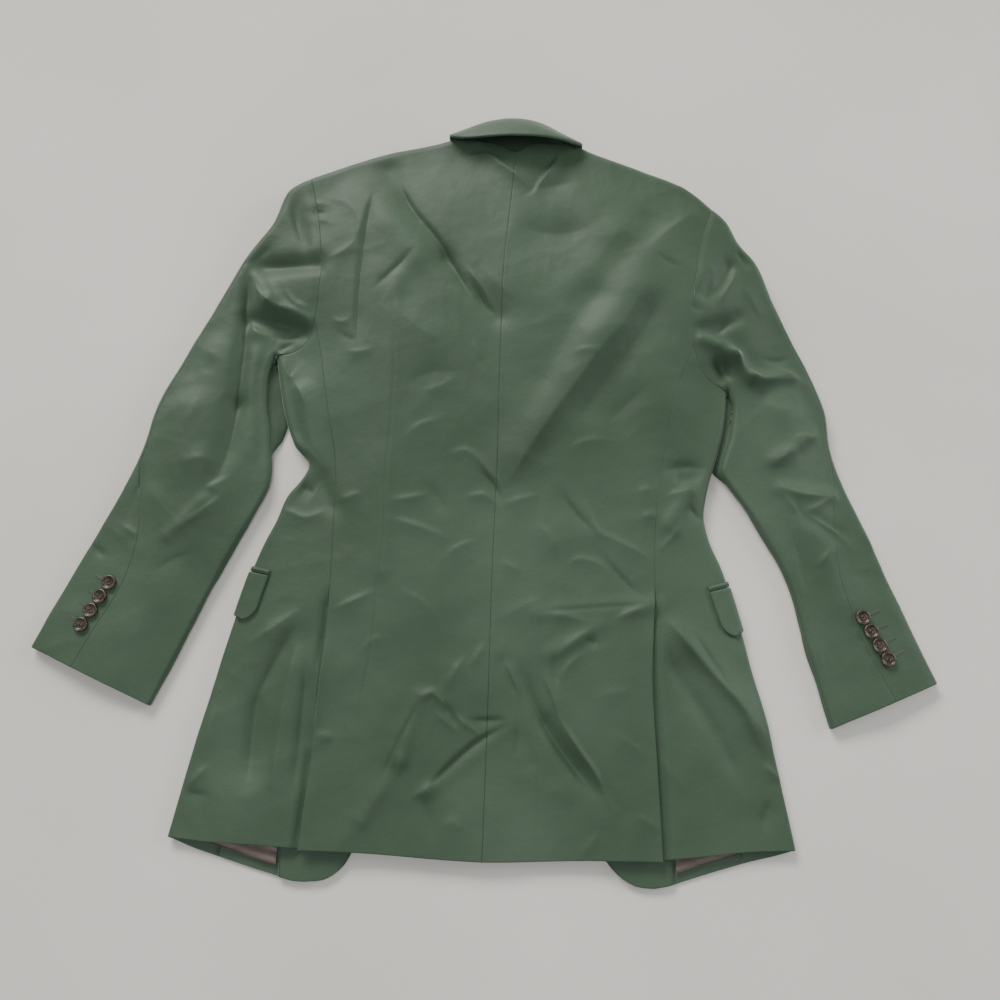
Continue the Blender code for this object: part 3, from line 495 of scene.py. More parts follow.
# Unevenness: height, size, seed. Nearly flat stretches that meet in crooked creases:
# the way they run, size, height, seed.
SWELLS = ((1.3, 64, 1), (0.7, 33, 2), (0.2, 16, 4), (0.05, 8, 3))
FACET_BEND = 0.3  # how far the creases between them wander, as a share of their size
CRUMPLED = (0.65, 0.5, 150, 12)  # mean strength, unevenness, size, seed
FACETS = ((0.9, 74, 1.2, 21), (2.3, 46, 0.75, 31), (0.3, 27, 0.42, 41), (1.5, 15, 0.16, 51))

# Creases: width on the side towards the light, width on the other side, rise, then the
# points of the line, read off as thousandths of the camera's view.
CREASES = (
    # left shoulder and shoulder blade
    (2.5, 5, 0.8, 303, 207, 318, 204, 332, 207), (2.5, 4, -0.7, 306, 213, 328, 213),
    (2.5, 5, 0.7, 306, 222, 320, 220, 336, 225), (3, 6, -0.9, 291, 195, 295, 220, 306, 250),
    (3, 7, -1.4, 244, 266, 258, 256, 274, 244), (2.6, 4, -1.0, 252, 264, 285, 267, 320, 265),
    (3, 8, 1.1, 327, 261, 345, 250, 360, 237),
    (8, 12, 1.1, 320, 197, 345, 203, 360, 225, 345, 252),
    (2.6, 8, -1.8, 374, 190, 365, 232, 360, 270, 357, 315, 358, 347),
    (3, 6, 0.7, 331, 318, 342, 322, 352, 317), (3, 6, 0.8, 344, 350, 360, 352, 376, 347),
    (3, 6, -0.6, 336, 330, 350, 338, 360, 340), (2.6, 7, -1.5, 418, 244, 395, 267, 370, 291),
    (2.4, 12, -2.0, 396, 178, 412, 207, 440, 242, 462, 280, 474, 302),
    (3, 8, 2.0, 462, 262, 480, 285, 497, 315), (2.6, 5, -1.1, 468, 277, 484, 304, 498, 318),
    (3, 6, 0.6, 472, 340, 482, 362), (12, 12, 1.4, 478, 262, 502, 288, 528, 308),
    (2.6, 8, 2.2, 464, 160, 485, 155, 502, 166, 520, 179, 534, 190),
    (2.4, 9, 2.4, 562, 150, 552, 168, 541, 182, 532, 194, 522, 199),
    (3, 8, 0.8, 452, 142, 475, 141, 490, 150, 502, 157),
    (12, 18, -2.6, 518, 196, 545, 186, 580, 180), (16, 26, 2.0, 388, 300, 420, 330, 455, 352),
    (10, 18, -1.4, 400, 390, 430, 372, 470, 372), (3, 10, 0.7, 402, 440, 420, 425, 446, 418),
    (3, 8, 0.5, 417, 392, 440, 386, 462, 372),
    (1.3, 1.3, -0.35, 392, 280, 394, 370, 390, 430, 385, 480, 384, 530, 377, 585, 375, 617, 370,
     655, 362, 695, 356, 735, 355, 770),
    # left sleeve head and armpit
    (2.6, 6, 1.9, 250, 268, 257, 290, 270, 303, 290, 309, 310, 316),
    (2.4, 4, 1.3, 284, 288, 296, 303, 314, 310),
    (3, 4, -1.5, 250, 316, 270, 322, 295, 327, 306, 334),
    (3, 6, 1.5, 249, 317, 257, 332, 272, 337), (2.5, 4, -1.7, 272, 334, 288, 336, 304, 332),
    (2.5, 4, -1.2, 275, 352, 285, 346, 297, 341), (3, 6, 1.3, 280, 352, 292, 377, 302, 360),
    (4, 7, 1.0, 291, 378, 300, 392, 306, 408),
    # right shoulder blade
    (4, 10, 1.1, 642, 252, 675, 225, 702, 209), (4, 9, -0.9, 652, 250, 670, 262, 684, 268),
    (22, 8, 2.6, 505, 486, 545, 425, 580, 377, 600, 350, 622, 325, 645, 290, 660, 270),
    (12, 26, -2.4, 570, 430, 600, 385, 636, 335, 668, 290),
    (3, 7, 0.7, 570, 354, 586, 350, 602, 353), (22, 30, -3.2, 510, 222, 555, 232, 600, 224),
    (16, 20, 1.4, 600, 215, 630, 235, 655, 240), (3, 6, 0.9, 688, 297, 700, 301, 714, 308),
    (2.6, 5, -0.7, 690, 306, 704, 312), (8, 20, -1.0, 600, 430, 630, 400, 655, 380),
    (3, 10, 0.6, 560, 452, 590, 440, 622, 441),
    # right sleeve head, upper arm and elbow
    (3, 5, -1.5, 735, 251, 744, 260, 752, 271),
    (3, 7, 1.2, 735, 251, 733, 278, 722, 298, 715, 310), (3, 6, 0.9, 704, 260, 713, 278, 708, 295),
    (3, 6, 0.9, 744, 286, 752, 302, 762, 320),
    (3, 6, -1.7, 697, 336, 715, 333, 730, 323, 744, 326),
    (3.2, 7, 2.5, 707, 349, 726, 344, 737, 354, 748, 373, 762, 379, 790, 374),
    (3, 6, -1.2, 758, 358, 775, 361, 792, 358), (2.6, 6, 1.1, 762, 362, 788, 373, 812, 388),
    (3, 7, 1.1, 792, 440, 802, 436, 817, 437), (3, 7, 1.0, 773, 461, 785, 456, 794, 443),
    (10, 14, 1.2, 760, 400, 785, 410, 808, 405), (3.5, 10, 1.8, 777, 487, 802, 494, 833, 496),
    (3, 7, 1.0, 782, 491, 793, 508, 801, 520), (3, 7, 1.1, 802, 513, 818, 506, 832, 496),
    (3, 9, 1.4, 801, 512, 818, 522, 838, 536, 854, 551), (3, 8, 1.0, 815, 570, 827, 555, 836, 541),
    (4, 8, -1.0, 790, 530, 800, 560, 808, 600), (3, 5, 0.9, 858, 525, 866, 538, 875, 553),
    (10, 14, 0.9, 800, 630, 815, 660, 826, 690),
    # left sleeve
    (3, 9, -1.6, 252, 272, 247, 302, 244, 340, 240, 375, 235, 415, 227, 452, 216, 484),
    (3, 8, 1.2, 204, 491, 220, 482, 229, 476), (3, 9, 1.3, 168, 533, 190, 520, 215, 502, 233, 484),
    (10, 14, 1.1, 206, 384, 192, 412, 182, 440), (6, 10, 0.9, 178, 463, 200, 458, 222, 462),
    (8, 12, 0.9, 222, 330, 214, 352, 212, 372),
    (3, 6, -1.2, 143, 455, 140, 480, 133, 505, 130, 524),
    (3, 6, 0.9, 122, 524, 130, 530, 138, 537), (3, 5, -1.0, 90, 543, 98, 550, 105, 557),
    (3, 9, -0.7, 150, 575, 170, 560, 196, 552), (10, 14, 0.8, 130, 600, 122, 630, 120, 655),
    # left waist
    (10, 12, 1.8, 288, 436, 308, 452, 330, 472), (3, 4, -0.9, 297, 442, 306, 456, 313, 472),
    (8, 8, -1.7, 300, 486, 315, 493),
    (3.2, 9, 1.4, 276, 504, 292, 512, 305, 517, 322, 512, 334, 506),
    (3, 8, 0.9, 338, 501, 362, 492), (3, 8, 0.9, 385, 500, 412, 497, 432, 493),
    (3, 10, 1.0, 383, 516, 415, 525, 454, 541),
    (2.6, 9, 1.5, 448, 461, 456, 452, 466, 450, 478, 458, 490, 472, 508, 488),
    (2.6, 7, -1.1, 474, 464, 486, 476, 497, 490, 502, 508),
    (3, 7, 1.1, 463, 498, 485, 495, 498, 508), (3, 9, 0.8, 500, 506, 520, 499, 542, 494),
    (3, 8, 0.7, 500, 561, 522, 571), (3, 9, 0.7, 440, 560, 462, 545, 480, 540),
    (3, 9, 0.6, 395, 588, 420, 600, 440, 622), (6, 12, -0.9, 420, 478, 440, 500, 448, 520),
    # left side panel, fanning out from the vent
    (5, 12, 1.8, 309, 602, 282, 622, 244, 648),
    (9, 14, -3.2, 303, 615, 275, 660, 258, 695, 250, 745, 246, 800),
    (6, 10, 2.0, 300, 630, 285, 695, 277, 745, 272, 800),
    (4, 8, -2.0, 308, 650, 301, 720, 292, 800), (3, 5, 1.8, 322, 640, 315, 700, 311, 760),
    (5, 8, 0.9, 216, 700, 208, 735, 201, 768), (3, 6, 1.3, 210, 763, 196, 778, 186, 790),
    (3, 6, -0.7, 182, 793, 212, 796),
    # left of the centre seam, below the waist
    (3, 9, 1.2, 330, 611, 355, 600, 378, 589), (4, 6, 1.0, 314, 738, 324, 735, 334, 741),
    (2.6, 5, 1.7, 417, 703, 424, 695, 432, 692, 441, 700, 446, 713),
    (2.4, 5, -1.5, 444, 699, 450, 715, 457, 731), (2.4, 5, 1.1, 434, 711, 447, 722, 457, 732),
    (3, 8, 1.3, 467, 655, 452, 675, 444, 694), (2.6, 5, 1.3, 456, 716, 470, 727, 479, 735),
    (2.4, 8, -1.3, 460, 721, 488, 720, 516, 719),
    (2.4, 14, -2.2, 519, 719, 477, 742, 445, 770, 420, 798),
    (3, 7, 1.6, 442, 780, 426, 789, 410, 800),
    (2.6, 14, -1.6, 424, 694, 407, 725, 397, 745, 376, 790),
    (8, 9, 1.3, 416, 712, 403, 742, 385, 775), (3, 8, -0.8, 420, 796, 428, 820, 432, 845),
    (3, 8, 0.6, 438, 828, 455, 822, 462, 835), (3, 10, 0.6, 355, 660, 372, 640, 392, 636),
    # right waist
    (3, 8, -1.3, 558, 483, 570, 505, 582, 520, 598, 536),
    (3, 10, 1.4, 580, 490, 590, 515, 597, 530, 615, 540, 635, 550, 653, 561),
    (3, 10, -1.2, 593, 545, 615, 570, 635, 590, 653, 601),
    (3, 9, 1.1, 565, 571, 575, 560, 595, 562, 613, 576), (3, 6, 0.7, 637, 491, 653, 489),
    (3, 6, 0.7, 642, 517, 656, 513), (3, 9, 0.8, 536, 522, 552, 540, 556, 560),
    # right side panel
    (6, 8, -2.0, 660, 473, 685, 466, 710, 470), (3, 8, 1.5, 662, 498, 685, 490, 707, 487),
    (3, 5, -1.4, 688, 504, 704, 524), (3, 7, 1.1, 656, 553, 672, 537, 686, 514),
    (16, 6, 3.6, 662, 612, 690, 648, 715, 677, 742, 708, 766, 762),
    (2.6, 6, -1.1, 690, 630, 712, 662, 732, 694),
    (14, 12, -3.2, 664, 640, 690, 690, 722, 740, 748, 800),
    (3, 5, 1.4, 764, 765, 772, 772, 780, 782), (4, 8, -1.1, 772, 800, 766, 815, 764, 832),
    (4, 8, 0.7, 655, 750, 672, 772, 690, 800),
    # right of the centre seam, below the waist
    (2, 6, -0.9, 533, 612, 570, 609, 610, 606, 655, 604),
    (2.5, 8, 1.3, 608, 623, 635, 610, 655, 604),
    (2.5, 8, 1.0, 535, 613, 565, 615, 587, 621, 602, 620),
    (3, 8, 1.1, 553, 657, 572, 642, 597, 626), (3, 8, 1.0, 556, 692, 565, 670, 587, 649),
    (4, 4, -1.0, 586, 641, 597, 643), (3, 7, 1.0, 469, 669, 486, 641),
    (6, 12, 0.9, 495, 621, 522, 607, 549, 594),
    (2.6, 7, 1.3, 502, 655, 510, 672, 518, 690, 520, 706), (2.4, 5, -0.7, 517, 728, 517, 758),
    (8, 8, -3.0, 518, 655, 532, 700, 547, 730, 572, 766, 600, 800),
    (3, 9, 1.1, 541, 668, 552, 695, 561, 724), (2.6, 8, -0.8, 550, 650, 555, 672, 556, 697),
    (2.6, 7, 2.8, 556, 712, 578, 748, 597, 776, 610, 812),
    (6, 10, 1.0, 600, 790, 612, 808, 630, 822), (3, 8, 0.8, 632, 814, 648, 822, 661, 833),
    (3, 9, 0.7, 577, 862, 588, 846, 602, 831), (8, 12, 0.9, 590, 699, 612, 694, 638, 688),
    (3, 9, 0.6, 605, 730, 628, 742, 650, 760), (8, 12, 0.8, 540, 800, 560, 790, 576, 806),
)
LIT_FROM = (-0.45, 0.89)
CREASE_GAIN = 2.0
CREASE_REACH = 3.2  # widths within which a crease is worked out
CREASE_FADE = 40.0  # length over which an end fades out, half the crease at most
CREASE_TIP = 2.0  # how far a crease runs on past its ends
CREASE_POWER = 1.3
EDGE_RELIEF, EDGE_REACH = 0.4, 9.0  # share of the relief left at a folded edge, and its reach
CLOTH_HEIGHT = 15.0  # a first guess, for placing the creases
NOISE_CELLS, NOISE_SHIFT = 64, 4096


def noise(points, size, seed):
    """Smooth random heights from -1 to 1 over places, about `size` apart."""
    cells = (NOISE_CELLS, NOISE_CELLS)
    heights = np.random.RandomState(seed).uniform(-1, 1, cells)
    q = points / size + NOISE_SHIFT
    cell = np.floor(q).astype(int)
    t = ease(q - cell)
    (i, j), (next_i, next_j) = (np.moveaxis((cell + k) % NOISE_CELLS, -1, 0) for k in (0, 1))
    near_row = mix(heights[i, j], heights[next_i, j], t[..., 0])
    next_row = mix(heights[i, next_j], heights[next_i, next_j], t[..., 0])
    return mix(near_row, next_row, t[..., 1])


def facets(points, turn, size, seed):
    """Nearly flat stretches of cloth that meet in crooked creases, longer one way."""
    c, s = math.cos(turn), math.sin(turn)
    bend = np.stack([noise(points, size, seed + k) for k in (1, 2)], axis=-1)
    q = (points + FACET_BEND * size * bend) @ np.array([[c, -s], [s, c]]) * (0.5, 1.0)
    return 1 - 2 * np.abs(noise(q, size, seed))


def on_cloth(places):
    """Where in plan the cloth lies that the camera sees at thousandths of its view."""
    across, up = ((np.array(places, float) - 500) / (VIEW_LENGTH, -VIEW_LENGTH)).T
    c, s = math.cos(CAMERA_TILT), math.sin(CAMERA_TILT)
    way = np.stack([across, up * c + s, up * s - c], axis=-1)
    z = np.full(len(across), CLOTH_HEIGHT)
    for _ in range(3):
        run = (z - CAMERA_PLACE[2]) / way[:, 2]
        plan = np.array(CAMERA_PLACE[:2]) + way[:, :2] * run[:, None]
        gaps, near, _ = edge_places(plan)
        z = edge_height(plan[:, 1]) + crown_rise(plan, gaps, near)
    return plan


def crease_lines():
    """The creases' lines in plan, each with its widths on the left and on the right hand."""
    rows = []
    for near, far, rise, *places in CREASES:
        line = on_cloth(np.reshape(places, (-1, 2)))
        run = line[-1] - line[0]
        lit_left = run[0] * LIT_FROM[1] - run[1] * LIT_FROM[0] > 0
        left, right = (near, far) if lit_left else (far, near)
        rows.append((left, right, rise, smooth(line, 3.0) if len(line) > 2 else line))
    return rows


CREASE_LINES = crease_lines()


def crease_height(points, left, right, rise, line):
    """One crease: a ridge or trough that fades out at both ends of its line."""
    height = np.zeros(points.shape[:-1])
    reach = CREASE_REACH * max(left, right)
    low, high = line.min(axis=0) - reach, line.max(axis=0) + reach
    here = ((points > low) & (points < high)).all(axis=-1)
    if here.any():
        first, part, away = nearest(points[here], line)
        run = lengths(line)
        place = run[first] + part * np.diff(run)[first]
        way = np.diff(line, axis=0)[first]
        on_left = way[:, 0] * away[:, 1] - way[:, 1] * away[:, 0] > 0
        to_end = np.minimum(place, run[-1] - place) + CREASE_TIP
        ends = ease(to_end / min(0.5 * run[-1], CREASE_FADE))
        gap = np.linalg.norm(away, axis=-1) / np.where(on_left, left, right)
        height[here] = rise * ends * np.exp(-(gap**CREASE_POWER))
    return height


def relief(points):
    """Creases and unevenness of the cloth over places in plan."""
    height = sum(rise * noise(points, size, seed) for rise, size, seed in SWELLS)
    mean, unevenness, *rest = CRUMPLED
    crumpled = mean + unevenness * noise(points, *rest)
    for turn, size, rise, seed in FACETS:
        height = height + rise * crumpled * facets(points, turn, size, seed)
    for row in CREASE_LINES:
        height = height + CREASE_GAIN * crease_height(points, *row)
    return height


def surface(plan, upper, puff=0.0):
    """Places on the finished cloth: the form with its creases."""
    upper = np.broadcast_to(upper, plan.shape[:-1])
    gaps, near, out = edge_places(plan)
    y = plan[..., 1]
    turn = np.arccos(np.clip(1 - near / fold_depth(y), 0, 1))
    half = edge_height(y) / 2
    sign = np.where(upper, 1.0, -1.0)
    z = half * (1 + sign * np.sin(turn)) + np.where(upper, crown_rise(plan, gaps, near), 0.0)
    flat = 2 * FOLD_SHARE * np.sin(turn)
    way = np.concatenate([out * np.cos(turn)[..., None], (sign * flat)[..., None]], axis=-1)
    above = EDGE_RELIEF + (1 - EDGE_RELIEF) * ease(near / EDGE_REACH)
    amount = np.where(upper, above, np.cos(turn) ** 2) * (relief(plan) + puff)
    points = np.concatenate([plan, z[..., None]], axis=-1) + unit(way) * amount[..., None]
    points[..., 2] = np.maximum(points[..., 2], 0.0)
    return points


def offsets(length, step=STEP):
    """Shares of a line, closer together at both ends."""
    first, last = BORDER[-1], length - BORDER[-1]
    count = max(2, int(round((length - 2 * BORDER[-1]) / step)))
    inner = np.linspace(first, last, count + 1)
    return np.concatenate([BORDER[:-1], inner, (length - BORDER[:-1])[::-1]]) / length


def from_edge(length, depth, count):
    """Shares of a line that starts on a folded edge and ends at a seam."""
    turns = depth * (1 - np.cos(np.linspace(0, math.pi / 2, FOLD_STEPS)))
    inner = np.linspace(turns[-1], length - BORDER[-1], count)
    return np.concatenate([turns, inner[1:], (length - BORDER[:-1])[::-1]]) / length


def border_gaps(grid):
    """Distance across the cloth from each of a grid's four borders."""
    across = np.linalg.norm(np.diff(grid, axis=1), axis=-1)
    down = np.linalg.norm(np.diff(grid, axis=0), axis=-1)
    left = np.pad(np.cumsum(across, axis=1), ((0, 0), (1, 0)))
    top = np.pad(np.cumsum(down, axis=0), ((1, 0), (0, 0)))
    return {"top": top, "bottom": top[-1:] - top, "left": left, "right": left[:, -1:] - left}


def rolled(grid, radius, share):
    """A grid whose borders turn down, as at a seam or a folded edge."""
    drop = np.zeros(grid.shape[:2])
    for gap in border_gaps(grid).values():
        soft = ROLL_SOFT * radius * np.clip(1 - gap / (ROLL_REACH * radius), 0, 1) ** 2
        steep = ROLL_STEEP * radius * (1 - ease(gap / EDGE_WIDTH))
        drop = np.maximum(drop, soft + steep)
    return grid - normals(grid) * (drop * share)[..., None]


# ---- pieces


def add_object(name, data):
    made = bpy.data.objects.new(name, data)
    bpy.context.scene.collection.objects.link(made)
    return made


def add_mesh(name, points, faces, material=None):
    """An object made from points in millimetres."""
    mesh = bpy.data.meshes.new(name)
    mesh.from_pydata([tuple(p) for p in np.asarray(points) * MM], [], faces)
    if material:
        mesh.materials.append(material)
    return add_object(name, mesh)


def add_piece(name, points, faces, kind, nodes):
    made = add_mesh(name, np.asarray(points) - MIDDLE, faces, MATERIALS[kind])
    made.data.shade_smooth()
    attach(made, "root")
    if nodes:
        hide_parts(*nodes)
    return made


def quads(index):
    """Faces of a grid of point numbers."""
    corners = [index[:-1, :-1], index[1:, :-1], index[1:, 1:], index[:-1, 1:]]
    return np.stack(corners, axis=-1).reshape(-1, 4)


def ring(index):
    """The numbers round the border of a grid, in one direction."""
    sides = [index[0, :-1], index[:-1, -1], index[-1, :0:-1], index[:0:-1, 0]]
    return np.concatenate(sides).tolist()


def numbers(rows, columns, first=0):
    return first + np.arange(rows * columns).reshape(rows, columns)


def add_cloth(
    name, grid, wall=FINE_WALL, kind="cloth", radius=ROLL, share=1.0
):
    """A sheet of cloth on a fine grid, with its wall on the inner side on every second row
    and column."""
    rows, columns = grid.shape[:2]
    outer = rolled(grid, radius, share)
    kept = np.ix_(*(np.unique(np.append(np.arange(0, n, 2), n - 1)) for n in (rows, columns)))
    inner = (grid - normals(grid) * wall)[kept]
    index = numbers(rows, columns)
    inner_index = numbers(*inner.shape[:2], first=rows * columns)
    faces = quads(index).tolist() + quads(inner_index)[:, ::-1].tolist()
    fine, coarse = ring(index), ring(inner_index)
    place = {number: k for k, number in enumerate(fine)}
    corners = [place[number] for number in ring(index[kept])] + [len(fine)]
    fine, coarse = fine + fine[:1], coarse + coarse[:1]
    for k in range(len(corners) - 1):
        faces.append(fine[corners[k] : corners[k + 1] + 1][::-1] + [coarse[k], coarse[k + 1]])
    points = np.concatenate([outer.reshape(-1, 3), inner.reshape(-1, 3)])
    made = add_piece(name, points, faces, kind, [name.replace("cloth_", "")])
    gaps = border_gaps(grid)
    middle = gaps["left"] - gaps["left"][:, columns // 2 : columns // 2 + 1]
    flat = np.stack([middle, gaps["top"]], axis=-1) * MM
    flat = np.concatenate([flat.reshape(-1, 2), flat[kept].reshape(-1, 2)])
    loops = np.zeros(len(made.data.loops), np.int32)
    made.data.loops.foreach_get("vertex_index", loops)
    made.data.uv_layers.new(name="cloth").data.foreach_set("uv", flat[loops].reshape(-1))
    width = round(gaps["right"][:, 0].max() * MM, 3)
    length = round(gaps["bottom"][0].max() * MM, 3)
    corner = grid[:-1, :-1]
    across = np.linalg.norm(np.cross(grid[1:, :-1] - corner, grid[:-1, 1:] - corner), axis=-1)
    area = float(across.sum()) * MM * MM
    area = np.clip(area, 0.31 * width * length, 0.995 * width * length)
    return made


def turned(grid, side):
    """Columns ordered so that the faces look outwards on either side of the body."""
    return grid if side == "left" else grid[:, ::-1]


# ---- sleeves


def sleeve_place(side, section, share):
    """Places in plan on sections of a sleeve, from its outer (0) to its inner edge (1)."""
    row = along(SLEEVES[side], section)[:, None]
    share = np.asarray(share)[..., None]
    hole = ARMHOLES[side]
    flat = mix(hole[0], hole[-1], share)
    bow = along(hole, share[..., 0].reshape(-1)).reshape(flat.shape) - flat
    fade = np.maximum(1 - np.asarray(section) / ARMHOLE_FADE, 0)[:, None, None]
    power = BOW_FADE[0] + BOW_FADE[1] * share**3
    return mix(row[..., 0:2], row[..., 2:4], share) + bow * fade**power


def sleeve_sizes(side, section):
    """Rows of a sleeve's table, the widths there, and the folds' shares of them."""
    row = along(SLEEVES[side], section)
    width = np.linalg.norm(row[:, 2:4] - row[:, 0:2], axis=1)
    return row, width, fold_depth(row[:, 1]) / width, fold_depth(row[:, 3]) / width


def sleeve_ring(side, section, turn):
    """Points round the sleeve. The turn runs from the forearm seam on the floor side (0),
    over the outer fold (1 to 2), the upper side, the inner fold (3 to 4) and back (5)."""
    row, *sizes = sleeve_sizes(side, section)
    width, outer, inner = (size[:, None] for size in sizes)
    seam = 1 - FOREARM_SEAM / width
    share = np.select(
        [turn <= 1, turn <= 2, turn <= 3, turn <= 4],
        [
            seam + (outer - seam) * turn,
            outer * (1 - np.cos((turn - 1.5) * math.pi)),
            outer + (1 - inner - outer) * (turn - 2),
            1 - inner * (1 - np.cos((turn - 3.5) * math.pi)),
        ],
        1 - inner + (seam - 1 + inner) * (turn - 4),
    )
    reach = np.interp(row[:, 3], *np.array(UNDER_REACH[side])[::-1].T)[:, None]
    comes, goes = (ease((turn - first) / over) for first, over in (REACH_IN, REACH_OUT))
    reach = reach * np.where(turn < REACH_OUT[0], comes, 1 - goes)
    sink = ease((section - HEAD_START) / (HEAD_END - HEAD_START))
    head = SLEEVE_HEAD * ease(section / HEAD_START) * (1 - sink)
    upper = (turn >= 1.5) & (turn <= 3.5)
    points = surface(sleeve_place(side, section, share), upper, head[:, None])
    points[..., 0] += INWARD[side] * reach
    return points


def hind_seam_turn(side, section):
    """Where round the sleeve the hind seam lies."""
    row, _, outer, inner = sleeve_sizes(side, section)
    return np.maximum(2 + (row[:, 4] - outer) / (1 - outer - inner), LEAST_HIND_TURN)


def add_sleeve(side):
    """Top and under sleeve, from the forearm seam round both folds and back to it."""
    section = offsets(SLEEVE_LENGTH)
    rows = len(section)
    seam = hind_seam_turn(side, section)[:, None]
    floor = [BORDER / FLOOR_WIDTH, np.linspace(0.08, 1, FLOOR_COLUMNS)]
    floor = np.concatenate([*floor, 1 + 0.5 * even(OUTER_COLUMNS)[1:]])
    to_seam = 1.5 + (seam - 1.5) * offsets(TOP_WIDTH)[None, 1:]
    inner = np.linspace(BORDER[-1] / UNDER_WIDTH, 1, UPPER_COLUMNS)
    back = seam + (3 - seam) * np.concatenate([BORDER[:-1] / UNDER_WIDTH, inner])
    rest = np.concatenate([3 + even(INNER_COLUMNS)[1:], 4 + even(FLOOR_COLUMNS)[1:]])
    top = np.hstack([np.tile(floor, (rows, 1)), to_seam])
    under = np.hstack([back, np.tile(rest, (rows, 1))])
    pressed = ease((section - PRESSED_FROM) / PRESSED_OVER)[:, None]
    for name, turn, hind in (("top", top, 1), ("under", under, 0)):
        grid = sleeve_ring(side, section, turn)
        beside = np.abs(np.linspace(0, 1, grid.shape[1]) - hind)
        share = 1 - (1 - pressed) * ease(1 - PRESSED_REACH * beside)
        name = f"cloth_sleeve_{name}_{side}"
        add_cloth(name, turned(grid, side), share=turned(share, side))


# ---- body


def junction(side):
    """The armhole down to the place where the side seam starts, and the rest of it."""
    hole, start = ARMHOLES[side], SIDE_SEAMS[side][0]
    first = int(np.argmin(np.linalg.norm(hole - start, axis=1)))
    return hole[: first + 1], hole[first:]


def side_seam(side):
    return after(SIDE_SEAMS[side], *junction(side)[0][-1])


def vent_drop(points, side):
    """How much lower a side panel lies where it runs under the back's vent edge."""
    outward = (line_x(SIDE_SEAMS[side], points[..., 1]) - points[..., 0]) * INWARD[side]
    below = ease((VENT_TOP - points[..., 1]) / VENT_START)
    return VENT_DIP * ease((VENT_SLOPE - outward) / VENT_SLOPE) * below


def floor_hem_line(side):
    """The side panel's part of the lower hem."""
    line = smooth(HEM_FRONT[side])
    return line[lengths(line) <= FRONT_SEAM_INSET]


def front_seam_places(side, edge):
    """Seam between side panel and front, on the floor side."""
    line = edge + (INWARD[side] * FRONT_SEAM_INSET, 0.0)
    top = sleeve_place(side, np.zeros(1), np.array([[1 - FLOOR_SHARE]]))[0, 0]
    share = (lengths(line) / lengths(line)[-1])[:, None]
    near_top = 1 - ease(share / SEAM_TOP_BEND)
    near_hem = 1 - ease((1 - share) / SEAM_HEM_BEND)
    return line + (top - line[0]) * near_top + (floor_hem_line(side)[-1] - line[-1]) * near_hem


def add_side(side):
    """Side panel: from the back seam over the folded edge to the seam with the front."""
    hole = junction(side)[1][::-1]
    shares = offsets(lengths(SIDE_EDGES[side])[-1])
    edge, seam = along(SIDE_EDGES[side], shares), along(side_seam(side), shares)
    lap = VENT_LAP * ease((VENT_TOP - VENT_START - seam[:, 1]) / VENT_START)
    seam[:, 0] += INWARD[side] * lap
    hem = smooth(HEM_SIDE[side])
    columns = int(lengths(hem)[-1] / STEP) - 4
    top_row, hem_row = (
        along(line, from_edge(lengths(line)[-1], fold_depth(line[0, 1]), columns))
        for line in (hole, hem)
    )
    hem_row = hem_row + (seam[-1] - hem_row[-1]) * np.linspace(0, 1, len(hem_row))[:, None] ** 3
    upper = surface(patch(top_row, hem_row, edge, seam), True)
    upper[..., 2] -= vent_drop(upper[..., :2], side)
    floor_top = sleeve_place(side, np.zeros(1), 1 - FLOOR_SHARE * even(PANEL_COLUMNS)[None])[0]
    front_seam = front_seam_places(side, edge)
    floor_hem = along(floor_hem_line(side), even(PANEL_COLUMNS))
    floor_hem[-1], front_seam[0] = front_seam[-1], floor_top[-1]
    lower = surface(patch(floor_top, floor_hem, edge, front_seam), False)
    grid = np.concatenate([lower[:, :0:-1], upper], axis=1)
    add_cloth(f"cloth_side_{side}", turned(grid, side))


def half_line(line, middle, side):
    """A side's half of a line across the back, from outside to the centre seam's end."""
    first = int(np.argmin(np.linalg.norm(line - middle, axis=1)))
    line[first] = middle
    return line[: first + 1] if side == "left" else line[first:][::-1]


def add_back(side):
    """One back: neckline and shoulder above, armhole and side seam outside, centre seam."""
    outer_line = np.vstack([junction(side)[0], side_seam(side)[1:]])
    centre_line = smooth(CENTRE_SEAM)
    half_neck = half_line(smooth(NECKLINE), centre_line[0], side)
    top_line = np.vstack([SHOULDERS[side][::-1], half_neck[1:]])
    bottom_line = half_line(smooth(HEM_BACK), centre_line[-1], side)
    across, down = offsets(lengths(top_line)[-1]), offsets(lengths(outer_line)[-1])
    top, bottom = along(top_line, across), along(bottom_line, across)
    outer, centre = along(outer_line, down), along(centre_line, down)
    bottom[0], bottom[-1] = outer[-1], centre[-1]
    top[0], top[-1] = outer[0], centre[0]
    grid = surface(patch(top, bottom, outer, centre), True)
    curl = ease((VENT_TOP - CURL_START - grid[..., 1]) / CURL_RUN)
    grid[..., 2] += VENT_CURL * curl * bell(border_gaps(grid)["left"], CURL_REACH)
    away = to_line(grid[..., :2], smooth(NECKLINE), 1)[0]
    grid[..., 2] += NECK_LIFT * bell(away, NECK_REACH)
    add_cloth(f"cloth_back_{side}", turned(grid, side))


